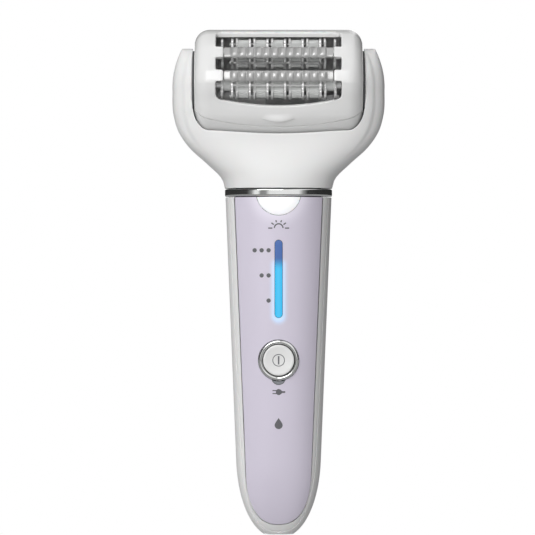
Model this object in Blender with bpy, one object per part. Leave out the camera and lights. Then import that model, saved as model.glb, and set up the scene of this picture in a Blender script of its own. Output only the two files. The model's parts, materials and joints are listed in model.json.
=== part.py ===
"""A cordless epilator: a tapering handle, a two-armed neck and a tilting head with two tweezer rotors.

The handle stands along +Z with its charging inlet at z = 0, and the front, with the button, faces -Y.
The head tilts about an axis along X through the neck's arms. Lengths are in metres.
"""

import math

import bmesh
import bpy
import numpy as np

MM = 0.001
GAP = 0.3 * MM  # between pieces that touch
RUNNING_GAP = 0.25 * MM  # between a shaft and its bore
OVERSHOOT = 5 * MM  # of a cutter past the face that it cuts through
FAR = 0.25  # further than the object reaches, for cutters without an end

# Handle: a superellipse section that widens upwards from a rounded foot.
HANDLE_TOP = 113.6 * MM
HANDLE_FOOT_HALF_WIDTH = 13.3 * MM
HANDLE_TOP_HALF_WIDTH = 17.9 * MM
HANDLE_FOOT_HALF_DEPTH = 10.8 * MM
HANDLE_TOP_HALF_DEPTH = 15.0 * MM
HANDLE_POWER = 2.5
FOOT_ROUNDING = 17.0 * MM
FOOT_POWER = 2.3
FOOT_FLAT_SHARE = 0.42  # of the section, left flat around the inlet
REAR_WALL = 2.0 * MM
FRONT_WALL = 3.0 * MM
SHELL_PARTING_Y = -5.0 * MM
PANEL_MARGIN = 3.1 * MM
PANEL_THICKNESS = 1.4 * MM
PANEL_FOOT = 2.9 * MM

# Collar between handle and neck.
COLLAR_HEIGHT = 2.8 * MM
COLLAR_PROUD = 0.2 * MM
COLLAR_WALL = 3.0 * MM
SEAL_INSET = 3.5 * MM
SEAL_WALL = 1.4 * MM
SEAL_REACH = 1.2 * MM  # past the collar's two faces

# Controls on the front, by their distance below the handle's top or their height.
WINDOW_DEPTH = 6.3 * MM
WINDOW_HALF_WIDTH = 7.45 * MM
WINDOW_THICKNESS = 3.4 * MM
LIGHT_BAR_TOP = 14.4 * MM
LIGHT_BAR_LENGTH = 26.2 * MM
LIGHT_BAR_WIDTH = 2.75 * MM
BUTTON_Z = 58.9 * MM
BUTTON_RADIUS = 5.2 * MM
BUTTON_PROUD = 0.9 * MM
BUTTON_CAP_DEPTH = 2.4 * MM
BUTTON_TRAVEL = 0.8 * MM
BUTTON_STEM_RADIUS = 1.6 * MM
RING_WIDTH = 1.31 * MM
RING_PROUD = 0.6 * MM
RING_DEPTH = 2.9 * MM
CHARGE_LAMP_RADIUS = 2.5 * MM
CHARGE_LAMP_INSET = 0.96 * MM  # of the lamp's centre inside the ring's outer edge
LED_HALF_SIZE = 1.0 * MM
LED_HEIGHT = 1.2 * MM
GUIDE_BACK_GAP = 1.6 * MM  # from the board to a light guide

# Inside the handle.
BOARD_FRONT_Y = -8.0 * MM
BOARD_THICKNESS = 1.2 * MM
BOARD_HALF_WIDTH = 7.2 * MM
BOARD_FOOT = 44.0 * MM
BOARD_TOP_DROP = 5.6 * MM
FRAME_THICKNESS = 1.2 * MM
FRAME_HALF_WIDTH = 8.0 * MM
FRAME_FOOT = 20.5 * MM
FRAME_RIB = 1.2 * MM
BATTERY_RADIUS = 7.0 * MM
BATTERY_LENGTH = 50.0 * MM
BATTERY_FOOT = 24.0 * MM
BATTERY_TAB = 0.4 * MM
INLET_HALF_WIDTH = 4.6 * MM
INLET_HALF_DEPTH = 3.1 * MM
INLET_WALL = 1.5 * MM
INLET_HEIGHT = 9.0 * MM
INLET_CUP = 6.5 * MM
INLET_PIN_RADIUS = 0.5 * MM
INLET_PIN_SPREAD = 1.5 * MM

# Neck: it flares from the collar to two arms that hold the head between them.
NECK_HEIGHT = 14.0 * MM  # from the collar to the floor of the cradle
NECK_WALL_HALF_WIDTH = 14.4 * MM
NECK_WALL_HALF_DEPTH = 11.4 * MM
NECK_FLOOR = 2.9 * MM
ARM_GAP = 0.7 * MM
ARM_THICKNESS = 6.9 * MM
ARM_RADIUS = 13.1 * MM
ARM_POWER = 4.0
HEAD_CLEARANCE = 0.8 * MM
NECK_FLARE = (  # shares of the rise from the collar to the pivot, and of the flare
    (0.0, 0.0), (0.094, 0.056), (0.24, 0.333), (0.40, 0.672), (0.545, 0.87), (0.72, 0.977), (1.0, 1.0)
)
ARM_TOP_SHARE = 0.82  # of the flare, left at the top of the arms

# Head: a barrel about the tilt axis, parted into a base and a lift-off cover.
HEAD_RADIUS = 19.5 * MM
HEAD_HALF_LENGTH = 28.2 * MM
HEAD_WALL = 1.4 * MM
HEAD_END_ROUNDING = 5.0 * MM
HEAD_CROWN = 1.9 * MM
COVER_ANGLE = 57.5  # degrees from +Z towards the front, the way the cover lifts
COVER_OFFSET = 4.2 * MM
SLOT_ANGLES = ((23.4, 46.5), (59.8, 75.0), (86.2, 106.5))
SLOT_HALF_WIDTH = 21.0 * MM
TAB_REACH = 18.4 * MM
CHIN_SAG = 2.0 * MM
GUARD_THICKNESS = 1.2 * MM
GUARD_LOBES = 12
GUARD_RIPPLE = 0.35 * MM
PIVOT_RADIUS = 2.4 * MM
PIVOT_DEPTH = 3.7 * MM  # of the pin in the arm
BUSH_WALL = 0.9 * MM

# Rotors, and the gears that turn them.
ROTOR_ANGLES = (26.0, 90.0)
ROTOR_TIP = 5.2 * MM
ROTOR_CLEARANCE = 0.5 * MM
ROTOR_LOBE_PHASES = (20.0, 45.0)
ROTOR_SHAFT = 1.1 * MM
ROTOR_CORE = 1.9 * MM
ROTOR_VALLEY = 2.3 * MM
ROTOR_BLOCK = 4.4 * MM
PLATE_PITCH = 5.9 * MM
PLATE_THICKNESS = 0.5 * MM
PLATE_VALLEY = 4.1 * MM
PLATES = 6
COMB_TRAVEL = 0.5 * MM
COMB_ROD = 0.4 * MM
COMB_ROD_ORBIT = 3.5 * MM
CENTRE_TEETH = 26
ROTOR_TEETH = 16
PINION_TEETH = 8
GEAR_ADDENDUM = 0.7  # modules
GEAR_DEDENDUM = 1.15  # modules
GEAR_FACE = 2.0 * MM
GEAR_END_GAP = 2.6 * MM
CHASSIS_THICKNESS = 1.0 * MM
CHASSIS_INSET = 1.5 * MM
MOTOR_RADIUS = 6.0 * MM
MOTOR_LENGTH = 25.0 * MM
MOTOR_ANGLE = 238.0
MOTOR_SHAFT = 0.8 * MM
GEAR_PIN_RADIUS = 1.2 * MM
GEAR_PIN_HEAD = 2.2 * MM

LEAD_RADIUS = 0.8 * MM
SCREW_HEAD = 1.8 * MM
SCREW_SHANK = 0.8 * MM
SCREW_HEAD_HEIGHT = 0.8 * MM
NECK_SCREW_X = 20.5 * MM
NECK_SCREW_RISE = 9.6 * MM  # above the collar
NECK_SCREW_SEAT_Y = 9.5 * MM
NECK_SCREW_LENGTH = 14.0 * MM

# Worked out from the sizes above.
RING_RADIUS = BUTTON_RADIUS + RUNNING_GAP + RING_WIDTH
CHARGE_LAMP_Z = BUTTON_Z - RING_RADIUS + CHARGE_LAMP_INSET
GUIDE_BACK_Y = BOARD_FRONT_Y - GUIDE_BACK_GAP
COLLAR_TOP = HANDLE_TOP + COLLAR_HEIGHT
CRADLE_FLOOR = COLLAR_TOP + NECK_HEIGHT
PIVOT_Z = CRADLE_FLOOR + HEAD_RADIUS + HEAD_CLEARANCE
ARM_INNER = HEAD_HALF_LENGTH + ARM_GAP
ARM_OUTER = ARM_INNER + ARM_THICKNESS
HEAD_INNER_END = HEAD_HALF_LENGTH - HEAD_WALL
GEAR_OUTER = HEAD_INNER_END - GEAR_END_GAP
GEAR_INNER = GEAR_OUTER - GEAR_FACE
CHASSIS_OUTER = GEAR_INNER - GAP
CHASSIS_INNER = CHASSIS_OUTER - CHASSIS_THICKNESS
ROTOR_ROOM = HEAD_RADIUS - HEAD_WALL - ROTOR_CLEARANCE
ROTOR_GEAR_REACH = (ROTOR_TEETH + 2 * GEAR_ADDENDUM) / (CENTRE_TEETH + ROTOR_TEETH)  # a share of the orbit
ROTOR_ORBIT = min(ROTOR_ROOM - ROTOR_TIP, ROTOR_ROOM / (1 + ROTOR_GEAR_REACH))  # tip or gear just clears
GEAR_MODULE = 2 * ROTOR_ORBIT / (CENTRE_TEETH + ROTOR_TEETH)
MOTOR_ORBIT = GEAR_MODULE * (CENTRE_TEETH + PINION_TEETH) / 2
BOARD_BACK_Y = BOARD_FRONT_Y + BOARD_THICKNESS
FRAME_FRONT_Y = BOARD_BACK_Y + GAP
FRAME_BACK_Y = FRAME_FRONT_Y + FRAME_THICKNESS
BATTERY_Y = FRAME_BACK_Y + GAP + BATTERY_RADIUS

X, Y, Z = np.eye(3)

FINISHES = {
    "white_plastic": ((0.78, 0.78, 0.77), 0.3, 0.0),
    "lavender_panel": ((0.65, 0.62, 0.72), 0.35, 0.1),
    "chrome": ((0.75, 0.76, 0.75), 0.08, 1.0),
    "window": ((0.9, 0.9, 0.9), 0.15, 0.0),
    "light_guide": ((0.05, 0.45, 0.9), 0.2, 0.0),
    "grey_lens": ((0.4, 0.42, 0.45), 0.3, 0.0),
    "silver_plastic": ((0.55, 0.55, 0.54), 0.3, 0.4),
    "steel": ((0.6, 0.6, 0.6), 0.25, 1.0),
    "brass": ((0.7, 0.55, 0.3), 0.3, 1.0),
    "gear_plastic": ((0.85, 0.84, 0.78), 0.45, 0.0),
    "black_plastic": ((0.03, 0.03, 0.035), 0.5, 0.0),
    "grey_rubber": ((0.2, 0.2, 0.2), 0.8, 0.0),
    "board_green": ((0.03, 0.2, 0.08), 0.5, 0.0),
    "cell_wrap": ((0.1, 0.25, 0.6), 0.4, 0.0),
}


# ---------------------------------------------------------------- shapes


def material(name):
    found = bpy.data.materials.get(name)
    if found:
        return found
    colour, roughness, metallic = FINISHES[name]
    made = bpy.data.materials.new(name)
    made.use_nodes = True
    shader = made.node_tree.nodes["Principled BSDF"]
    shader.inputs["Base Color"].default_value = (*colour, 1.0)
    shader.inputs["Roughness"].default_value = roughness
    shader.inputs["Metallic"].default_value = metallic
    return made


def body(name, verts, faces, finish=None):
    """One object from points and faces, with its faces turned outwards. No finish means a hidden cutter."""
    mesh = bpy.data.meshes.new(name)
    mesh.from_pydata([tuple(map(float, point)) for point in verts], [], faces)
    bm = bmesh.new()
    bm.from_mesh(mesh)
    bmesh.ops.recalc_face_normals(bm, faces=bm.faces)
    bm.to_mesh(mesh)
    bm.free()
    mesh.shade_smooth()
    mesh.set_sharp_from_angle(angle=math.radians(35))
    made = bpy.data.objects.new(name, mesh)
    bpy.context.scene.collection.objects.link(made)
    if finish:
        mesh.materials.append(material(finish))
    else:
        made.hide_render = True
        made.display_type = "WIRE"
    return made


def loft(name, rings, finish=None, ring_shaped=False):
    """A skin over rings of equal point count: capped at both ends, or joined end to end when ring_shaped."""
    rings = np.asarray(rings, dtype=float)
    count, points = rings.shape[:2]
    faces = []
    for i in range(count if ring_shaped else count - 1):
        for j in range(points):
            k, m = (i + 1) % count, (j + 1) % points
            faces.append((i * points + j, i * points + m, k * points + m, k * points + j))
    if not ring_shaped:
        faces.append(tuple(reversed(range(points))))
        faces.append(tuple(range((count - 1) * points, count * points)))
    return body(name, rings.reshape(-1, 3), faces, finish)


def across(direction):
    """Two unit vectors square to a direction and to each other."""
    side = X if abs(direction @ X) < 0.9 else Y
    u = np.cross(direction, side)
    u /= np.linalg.norm(u)
    return u, np.cross(direction, u)


def turned(name, profile, origin, direction, finish=None, segments=24, ring_shaped=False):
    """A profile of (radius, distance along the direction) pairs turned about a line through the origin."""
    u, v = across(direction)
    turns = np.linspace(0, 2 * math.pi, segments, endpoint=False)[:, None]
    circle = np.cos(turns) * u + np.sin(turns) * v
    rings = [np.asarray(origin) + circle * radius + direction * along for radius, along in profile]
    return loft(name, rings, finish, ring_shaped)


def rod(name, radius, start, end, finish=None, segments=20):
    """A plain round rod from one point to another."""
    start, end = np.asarray(start), np.asarray(end)
    length = np.linalg.norm(end - start)
    return turned(name, [(radius, 0), (radius, length)], start, (end - start) / length, finish, segments)


def sleeve(name, outer, inner, start, end, finish=None, segments=24):
    """A round tube from one point to another."""
    start, end = np.asarray(start), np.asarray(end)
    length = np.linalg.norm(end - start)
    profile = [(outer, 0), (outer, length), (inner, length), (inner, 0)]
    return turned(name, profile, start, (end - start) / length, finish, segments, ring_shaped=True)


def prism(name, outline, origin, u, v, depth, finish=None):
    """An outline of (along u, along v) pairs, pushed from the origin's plane along the depth vector."""
    flat = np.asarray(outline) @ np.array([u, v]) + origin
    return loft(name, [flat, flat + depth], finish)


def block(name, low, high, finish=None):
    (x0, y0, z0), (x1, y1, z1) = low, high
    outline = [(x0, y0), (x1, y0), (x1, y1), (x0, y1)]
    return prism(name, outline, Z * z0, X, Y, Z * (z1 - z0), finish)


def combine(target, tool, operation):
    step = target.modifiers.new(tool.name, "BOOLEAN")
    step.operation = operation
    step.object = tool
    tool.hide_render = True
    tool.display_type = "WIRE"


def cut(target, *tools):
    for tool in tools:
        combine(target, tool, "DIFFERENCE")


def keep(target, *tools):
    for tool in tools:
        combine(target, tool, "INTERSECT")


def join(target, *tools):
    for tool in tools:
        combine(target, tool, "UNION")


def curve_through(points, at):
    """The height at a distance along a smooth curve through (distance, height) points."""
    x, y = np.array(points).T
    slopes = np.gradient(y, x)
    i = int(np.clip(np.searchsorted(x, at) - 1, 0, len(x) - 2))
    step = x[i + 1] - x[i]
    t = (at - x[i]) / step
    rise = (2 * t**3 - 3 * t**2 + 1) * y[i] + (3 * t**2 - 2 * t**3) * y[i + 1]
    return rise + step * ((t**3 - 2 * t**2 + t) * slopes[i] + (t**3 - t**2) * slopes[i + 1])


def superellipse(half_width, half_depth, power, z, count=32):
    turns = np.linspace(0, 2 * math.pi, count, endpoint=False)
    c, s = np.cos(turns), np.sin(turns)
    x = half_width * np.sign(c) * np.abs(c) ** (2 / power)
    y = half_depth * np.sign(s) * np.abs(s) ** (2 / power)
    return np.stack([x, y, np.full(count, z)], axis=1)


def radial(angle):
    """The unit vector at an angle from +Z towards the front, in the plane square to the tilt axis."""
    turn = math.radians(angle)
    return np.array([0.0, -math.sin(turn), math.cos(turn)])


PIVOT = Z * PIVOT_Z


# ---------------------------------------------------------------- handle


def foot_share(z):
    """The share of the full section that the rounded foot leaves at a height."""
    drop = max(0.0, 1 - z / FOOT_ROUNDING)
    return max(FOOT_FLAT_SHARE, (1 - drop**FOOT_POWER) ** (1 / FOOT_POWER))


def handle_half_width(z):
    return HANDLE_FOOT_HALF_WIDTH + (HANDLE_TOP_HALF_WIDTH - HANDLE_FOOT_HALF_WIDTH) * z / HANDLE_TOP


def handle_half_depth(z):
    return HANDLE_FOOT_HALF_DEPTH + (HANDLE_TOP_HALF_DEPTH - HANDLE_FOOT_HALF_DEPTH) * z / HANDLE_TOP


def handle_solid(name, inset, top, finish=None, foot=None):
    """The handle's whole form, shrunk by an inset, from its foot up to a height."""
    foot = inset if foot is None else foot
    rounded = [foot + (FOOT_ROUNDING - foot) * (1 - math.cos(math.radians(a))) for a in range(0, 91, 15)]
    levels = rounded + [(FOOT_ROUNDING + top) / 2, top]
    rings = []
    for z in levels:
        share = foot_share(z)
        half_width = handle_half_width(z) * share - inset
        half_depth = handle_half_depth(z) * share - inset
        rings.append(superellipse(half_width, half_depth, HANDLE_POWER, z))
    return loft(name, rings, finish)


def panel_outline(growth):
    """The front panel's outline, as (x, z) pairs from the foot up the right side and down the left."""
    height = HANDLE_TOP - PANEL_FOOT
    levels = [FOOT_ROUNDING * (1 - math.cos(math.radians(a))) for a in range(10, 91, 16)] + [height + OVERSHOOT]
    right = []
    for rise in levels:
        z = PANEL_FOOT + rise
        share = (1 - max(0.0, 1 - rise / FOOT_ROUNDING) ** FOOT_POWER) ** (1 / FOOT_POWER)
        right.append(((handle_half_width(z) - PANEL_MARGIN) * share + growth, z - growth))
    return right + [(-x, z) for x, z in reversed(right)]


def front_prism(name, outline):
    """An outline in the front view, pushed from in front of the handle back to its middle."""
    return prism(name, outline, Y * -FAR, X, Z, Y * (FAR + SHELL_PARTING_Y))


def slot_outline(half_width, low, high):
    """An upright slot with round ends, as (x, z) pairs."""
    points = []
    for centre, start in ((high - half_width, 0), (low + half_width, 180)):
        for turn in range(start, start + 181, 30):
            a = math.radians(turn)
            points.append((half_width * math.cos(a), centre + half_width * math.sin(a)))
    return points


def window_outline(growth):
    """A half moon with its flat side up against the collar, as (x, z) pairs."""
    sag = WINDOW_DEPTH
    radius = (WINDOW_HALF_WIDTH**2 + sag**2) / (2 * sag)
    centre = HANDLE_TOP - sag + radius
    reach = math.asin(WINDOW_HALF_WIDTH / radius)
    turns = np.linspace(-reach, reach, 13)
    arc = [((radius + growth) * math.sin(t), centre - (radius + growth) * math.cos(t)) for t in turns]
    top = HANDLE_TOP + OVERSHOOT
    return arc + [(arc[-1][0], top), (arc[0][0], top)]


def front_openings():
    """Cutters for every control that comes out through the panel and the front shell."""
    bar_top = HANDLE_TOP - LIGHT_BAR_TOP
    half = LIGHT_BAR_WIDTH / 2 + GAP / 2
    bar = slot_outline(half, bar_top - LIGHT_BAR_LENGTH - GAP / 2, bar_top + GAP / 2)
    front, back = Y * -FAR, Y * SHELL_PARTING_Y
    return [
        front_prism("window_opening", window_outline(GAP / 2)),
        front_prism("light_bar_opening", bar),
        rod("button_opening", RING_RADIUS + GAP / 2, front + Z * BUTTON_Z, back + Z * BUTTON_Z, None, 32),
        rod("lamp_opening", CHARGE_LAMP_RADIUS + GAP / 2, front + Z * CHARGE_LAMP_Z, back + Z * CHARGE_LAMP_Z),
    ]


def make_handle_shells():
    top = HANDLE_TOP - GAP / 2
    past_top = HANDLE_TOP + OVERSHOOT
    openings = front_openings()

    rear = handle_solid("rear_shell", 0.0, top, "white_plastic", foot=0.0)
    cut(rear, handle_solid("rear_hollow", REAR_WALL, past_top))
    keep(rear, block("rear_side", (-FAR, SHELL_PARTING_Y + GAP / 2, -FAR), (FAR, FAR, FAR)))
    low = (-INLET_HALF_WIDTH - GAP, -INLET_HALF_DEPTH - GAP, -OVERSHOOT)
    high = (INLET_HALF_WIDTH + GAP, INLET_HALF_DEPTH + GAP, INLET_HEIGHT)
    cut(rear, block("inlet_opening", low, high))

    front = handle_solid("front_shell", 0.0, top, "white_plastic", foot=0.0)
    cut(front, handle_solid("front_hollow", FRONT_WALL, past_top))
    keep(front, block("front_side", (-FAR, -FAR, -FAR), (FAR, SHELL_PARTING_Y - GAP / 2, FAR)))
    recess = front_prism("panel_recess", panel_outline(GAP / 2))
    cut(recess, handle_solid("panel_floor", PANEL_THICKNESS + GAP, past_top))
    cut(front, recess, *openings)

    panel = handle_solid("front_panel", 0.0, top, "lavender_panel", foot=0.0)
    cut(panel, handle_solid("panel_back", PANEL_THICKNESS, past_top))
    keep(panel, front_prism("panel_edge", panel_outline(-GAP / 2)))
    cut(panel, *openings)


def collar_rings(z_levels, inset):
    half_width, half_depth = HANDLE_TOP_HALF_WIDTH - inset, HANDLE_TOP_HALF_DEPTH - inset
    return [superellipse(half_width, half_depth, HANDLE_POWER, z) for z in z_levels]


def make_collar():
    low, high = HANDLE_TOP + GAP / 2, COLLAR_TOP - GAP / 2
    outside = collar_rings((low, high), -COLLAR_PROUD)
    inside = collar_rings((high, low), COLLAR_WALL)
    loft("chrome_collar", outside + inside, "chrome", ring_shaped=True)
    low, high = HANDLE_TOP - SEAL_REACH, COLLAR_TOP + SEAL_REACH
    outside = collar_rings((low, high), SEAL_INSET)
    inside = collar_rings((high, low), SEAL_INSET + SEAL_WALL)
    loft("collar_seal", outside + inside, "grey_rubber", ring_shaped=True)


def make_lights():
    """The window, the light bar and the charge lamp, cut flush with the handle, and the diodes behind them."""
    top = HANDLE_TOP - GAP / 2
    window = handle_solid("light_window", 0.0, top, "window", foot=0.0)
    cut(window, handle_solid("window_back", WINDOW_THICKNESS, HANDLE_TOP + OVERSHOOT))
    keep(window, front_prism("window_edge", window_outline(-GAP / 2)))

    bar_top = HANDLE_TOP - LIGHT_BAR_TOP
    bar_low, half = bar_top - LIGHT_BAR_LENGTH, LIGHT_BAR_WIDTH / 2
    outline = slot_outline(half - GAP / 2, bar_low + GAP / 2, bar_top - GAP / 2)
    bar = prism("speed_light_bar", outline, Y * -FAR, X, Z, Y * (FAR + GUIDE_BACK_Y), "light_guide")
    keep(bar, handle_solid("bar_front", 0.0, HANDLE_TOP, foot=0.0))

    start, end = (0, -FAR, CHARGE_LAMP_Z), (0, GUIDE_BACK_Y, CHARGE_LAMP_Z)
    lamp = rod("charge_lamp_lens", CHARGE_LAMP_RADIUS - GAP / 2, start, end, "grey_lens")
    keep(lamp, handle_solid("lamp_front", 0.0, HANDLE_TOP, foot=0.0))
    start, end = (0, -FAR - OVERSHOOT, BUTTON_Z), (0, 0, BUTTON_Z)
    cut(lamp, rod("lamp_notch", RING_RADIUS + GAP / 2, start, end, None, 32))

    lamp_led_z = HANDLE_TOP - BOARD_TOP_DROP - 2 * LED_HALF_SIZE
    heights = {"lamp_led": lamp_led_z, "charge_led": CHARGE_LAMP_Z - LED_HALF_SIZE}
    for i in range(3):
        heights[f"speed_led_{i + 1}"] = bar_top - LIGHT_BAR_LENGTH * (2.5 - i) / 3
    for name, z in heights.items():
        low = (-LED_HALF_SIZE, BOARD_FRONT_Y - LED_HEIGHT, z - LED_HALF_SIZE)
        block(name, low, (LED_HALF_SIZE, BOARD_FRONT_Y - GAP / 2, z + LED_HALF_SIZE), "window")


def make_button():
    surface = -handle_half_depth(BUTTON_Z)
    front = surface - RING_PROUD
    bore = BUTTON_RADIUS + RUNNING_GAP
    rim = 0.35 * MM
    profile = [
        (RING_RADIUS, RING_DEPTH),
        (bore, RING_DEPTH),
        (bore, rim),
        (bore + rim, 0),
        (RING_RADIUS - rim, 0),
        (RING_RADIUS, rim),
    ]
    turned("button_ring", profile, (0, front, BUTTON_Z), Y, "chrome", 32, ring_shaped=True)

    cap_front = surface - BUTTON_PROUD
    cap_back = cap_front + BUTTON_CAP_DEPTH
    ring_back = front + RING_DEPTH
    seal_front = ring_back + GAP
    seal_back = seal_front + 0.5 * MM
    switch_front = BOARD_FRONT_Y - 1.1 * MM
    stem_end = switch_front - BUTTON_TRAVEL - 0.1 * MM
    profile = [
        (BUTTON_RADIUS - 0.4 * MM, 0),
        (BUTTON_RADIUS, 0.4 * MM),
        (BUTTON_RADIUS, cap_back - cap_front),
        (BUTTON_STEM_RADIUS, cap_back - cap_front),
        (BUTTON_STEM_RADIUS, stem_end - cap_front),
    ]
    turned("power_button", profile, (0, cap_front, BUTTON_Z), Y, "white_plastic", 32)
    hole = BUTTON_STEM_RADIUS + RUNNING_GAP
    start, end = (0, seal_front, BUTTON_Z), (0, seal_back, BUTTON_Z)
    sleeve("button_seal", RING_RADIUS - GAP, hole, start, end, "grey_rubber")
    half = 2.2 * MM
    back = BOARD_FRONT_Y - GAP / 2
    block("tact_switch", (-half, switch_front, BUTTON_Z - half), (half, back, BUTTON_Z + half), "black_plastic")


def screw(name, place, direction, length, finish="steel"):
    """A pan-head screw: the place is under its head, and the shank runs along the direction."""
    profile = [
        (SCREW_HEAD - 0.3 * MM, -SCREW_HEAD_HEIGHT),
        (SCREW_HEAD, -SCREW_HEAD_HEIGHT + 0.3 * MM),
        (SCREW_HEAD, 0),
        (SCREW_SHANK, 0),
        (SCREW_SHANK, length),
    ]
    return turned(name, profile, place, direction, finish, 16)


def make_handle_inside():
    board_top = HANDLE_TOP - BOARD_TOP_DROP
    low = (-BOARD_HALF_WIDTH, BOARD_FRONT_Y, BOARD_FOOT)
    board = block("main_board", low, (BOARD_HALF_WIDTH, BOARD_BACK_Y, board_top), "board_green")

    low = (-FRAME_HALF_WIDTH, FRAME_FRONT_Y, FRAME_FOOT)
    frame = block("inner_frame", low, (FRAME_HALF_WIDTH, FRAME_BACK_Y, board_top), "black_plastic")
    battery_top = BATTERY_FOOT + BATTERY_LENGTH
    rib_x = BATTERY_RADIUS + GAP
    shelf = BATTERY_TAB + 2 * GAP
    for name, z in (("foot_shelf", BATTERY_FOOT - shelf - FRAME_RIB), ("head_shelf", battery_top + shelf)):
        high = (5 * MM, BATTERY_Y + 4 * MM, z + FRAME_RIB)
        join(frame, block(name, (-5 * MM, FRAME_BACK_Y - 0.3 * MM, z), high))
    for name, x in (("left_rib", -rib_x - FRAME_RIB), ("right_rib", rib_x)):
        low = (x, FRAME_BACK_Y - 0.3 * MM, BATTERY_FOOT + 8 * MM)
        join(frame, block(name, low, (x + FRAME_RIB, BATTERY_Y, battery_top - 8 * MM)))

    start, end = (0, BATTERY_Y, BATTERY_FOOT), (0, BATTERY_Y, battery_top)
    rod("battery_cell", BATTERY_RADIUS, start, end, "cell_wrap", 24)
    tab_places = {"battery_tab_bottom": BATTERY_FOOT - GAP - BATTERY_TAB, "battery_tab_top": battery_top + GAP}
    for name, z in tab_places.items():
        low = (-2.5 * MM, BATTERY_Y - 3 * MM, z)
        block(name, low, (2.5 * MM, BATTERY_Y + 3 * MM, z + BATTERY_TAB), "steel")

    places = {"frame_screw_lower": (-2.0 * MM, 47.0 * MM), "frame_screw_upper": (4.5 * MM, board_top - 3.2 * MM)}
    for name, (x, z) in places.items():
        screw(name, (x, BOARD_FRONT_Y - 0.2 * MM, z), Y, FRAME_BACK_Y - BOARD_FRONT_Y)
        hole = rod(name + "_hole", SCREW_SHANK + RUNNING_GAP, (x, -0.02, z), (x, 0, z), None, 12)
        cut(board, hole)
        cut(frame, hole)


def make_inlet():
    low = (-INLET_HALF_WIDTH, -INLET_HALF_DEPTH, 0.0)
    socket = block("inlet_socket", low, (INLET_HALF_WIDTH, INLET_HALF_DEPTH, INLET_HEIGHT), "black_plastic")
    half_width, half_depth = INLET_HALF_WIDTH - INLET_WALL, INLET_HALF_DEPTH - INLET_WALL
    cut(socket, block("inlet_cup", (-half_width, -half_depth, -1 * MM), (half_width, half_depth, INLET_CUP)))
    for name, x in (("inlet_pin_left", -INLET_PIN_SPREAD), ("inlet_pin_right", INLET_PIN_SPREAD)):
        start, end = (x, 0, 1.5 * MM), (x, 0, INLET_HEIGHT + 3 * MM)
        rod(name, INLET_PIN_RADIUS, start, end, "steel", 12)
        cut(socket, rod(name + "_hole", INLET_PIN_RADIUS + GAP / 2, (x, 0, 5 * MM), (x, 0, 15 * MM), None, 12))


# ---------------------------------------------------------------- neck


def neck_half_width(z):
    foot = HANDLE_TOP_HALF_WIDTH + COLLAR_PROUD
    share = curve_through(NECK_FLARE, (z - COLLAR_TOP) / (PIVOT_Z - COLLAR_TOP))
    if z > PIVOT_Z:
        share = 1 - (1 - ARM_TOP_SHARE) * ((z - PIVOT_Z) / ARM_RADIUS) ** 2
    return foot + (ARM_OUTER - foot) * share


def neck_half_depth(z):
    """Straight-sided at first, then a circle about the tilt axis over the top of the arms."""
    if z > PIVOT_Z:
        return math.sqrt(max(0.0, ARM_RADIUS**2 - (z - PIVOT_Z) ** 2))
    t = (z - COLLAR_TOP) / (PIVOT_Z - COLLAR_TOP)
    ease = min(1.0, t / 0.55)
    ease = ease * ease * (3 - 2 * ease)
    return HANDLE_TOP_HALF_DEPTH + COLLAR_PROUD - (HANDLE_TOP_HALF_DEPTH + COLLAR_PROUD - ARM_RADIUS) * ease


def neck_solid(name, finish):
    rise = PIVOT_Z - COLLAR_TOP
    foot = COLLAR_TOP + GAP / 2
    levels = [foot] + [COLLAR_TOP + rise * t for t in (0.08, 0.17, 0.27, 0.38, 0.5, 0.62, 0.78, 1.0)]
    levels += [PIVOT_Z + ARM_RADIUS * math.sin(math.radians(a)) for a in (22, 42, 58, 72, 84)]
    rings = []
    for z in levels:
        blend = min(1.0, (z - COLLAR_TOP) / (0.5 * rise))
        power = HANDLE_POWER + (ARM_POWER - HANDLE_POWER) * blend
        rings.append(superellipse(neck_half_width(z), neck_half_depth(z), power, z, 36))
    return loft(name, rings, finish)


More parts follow.
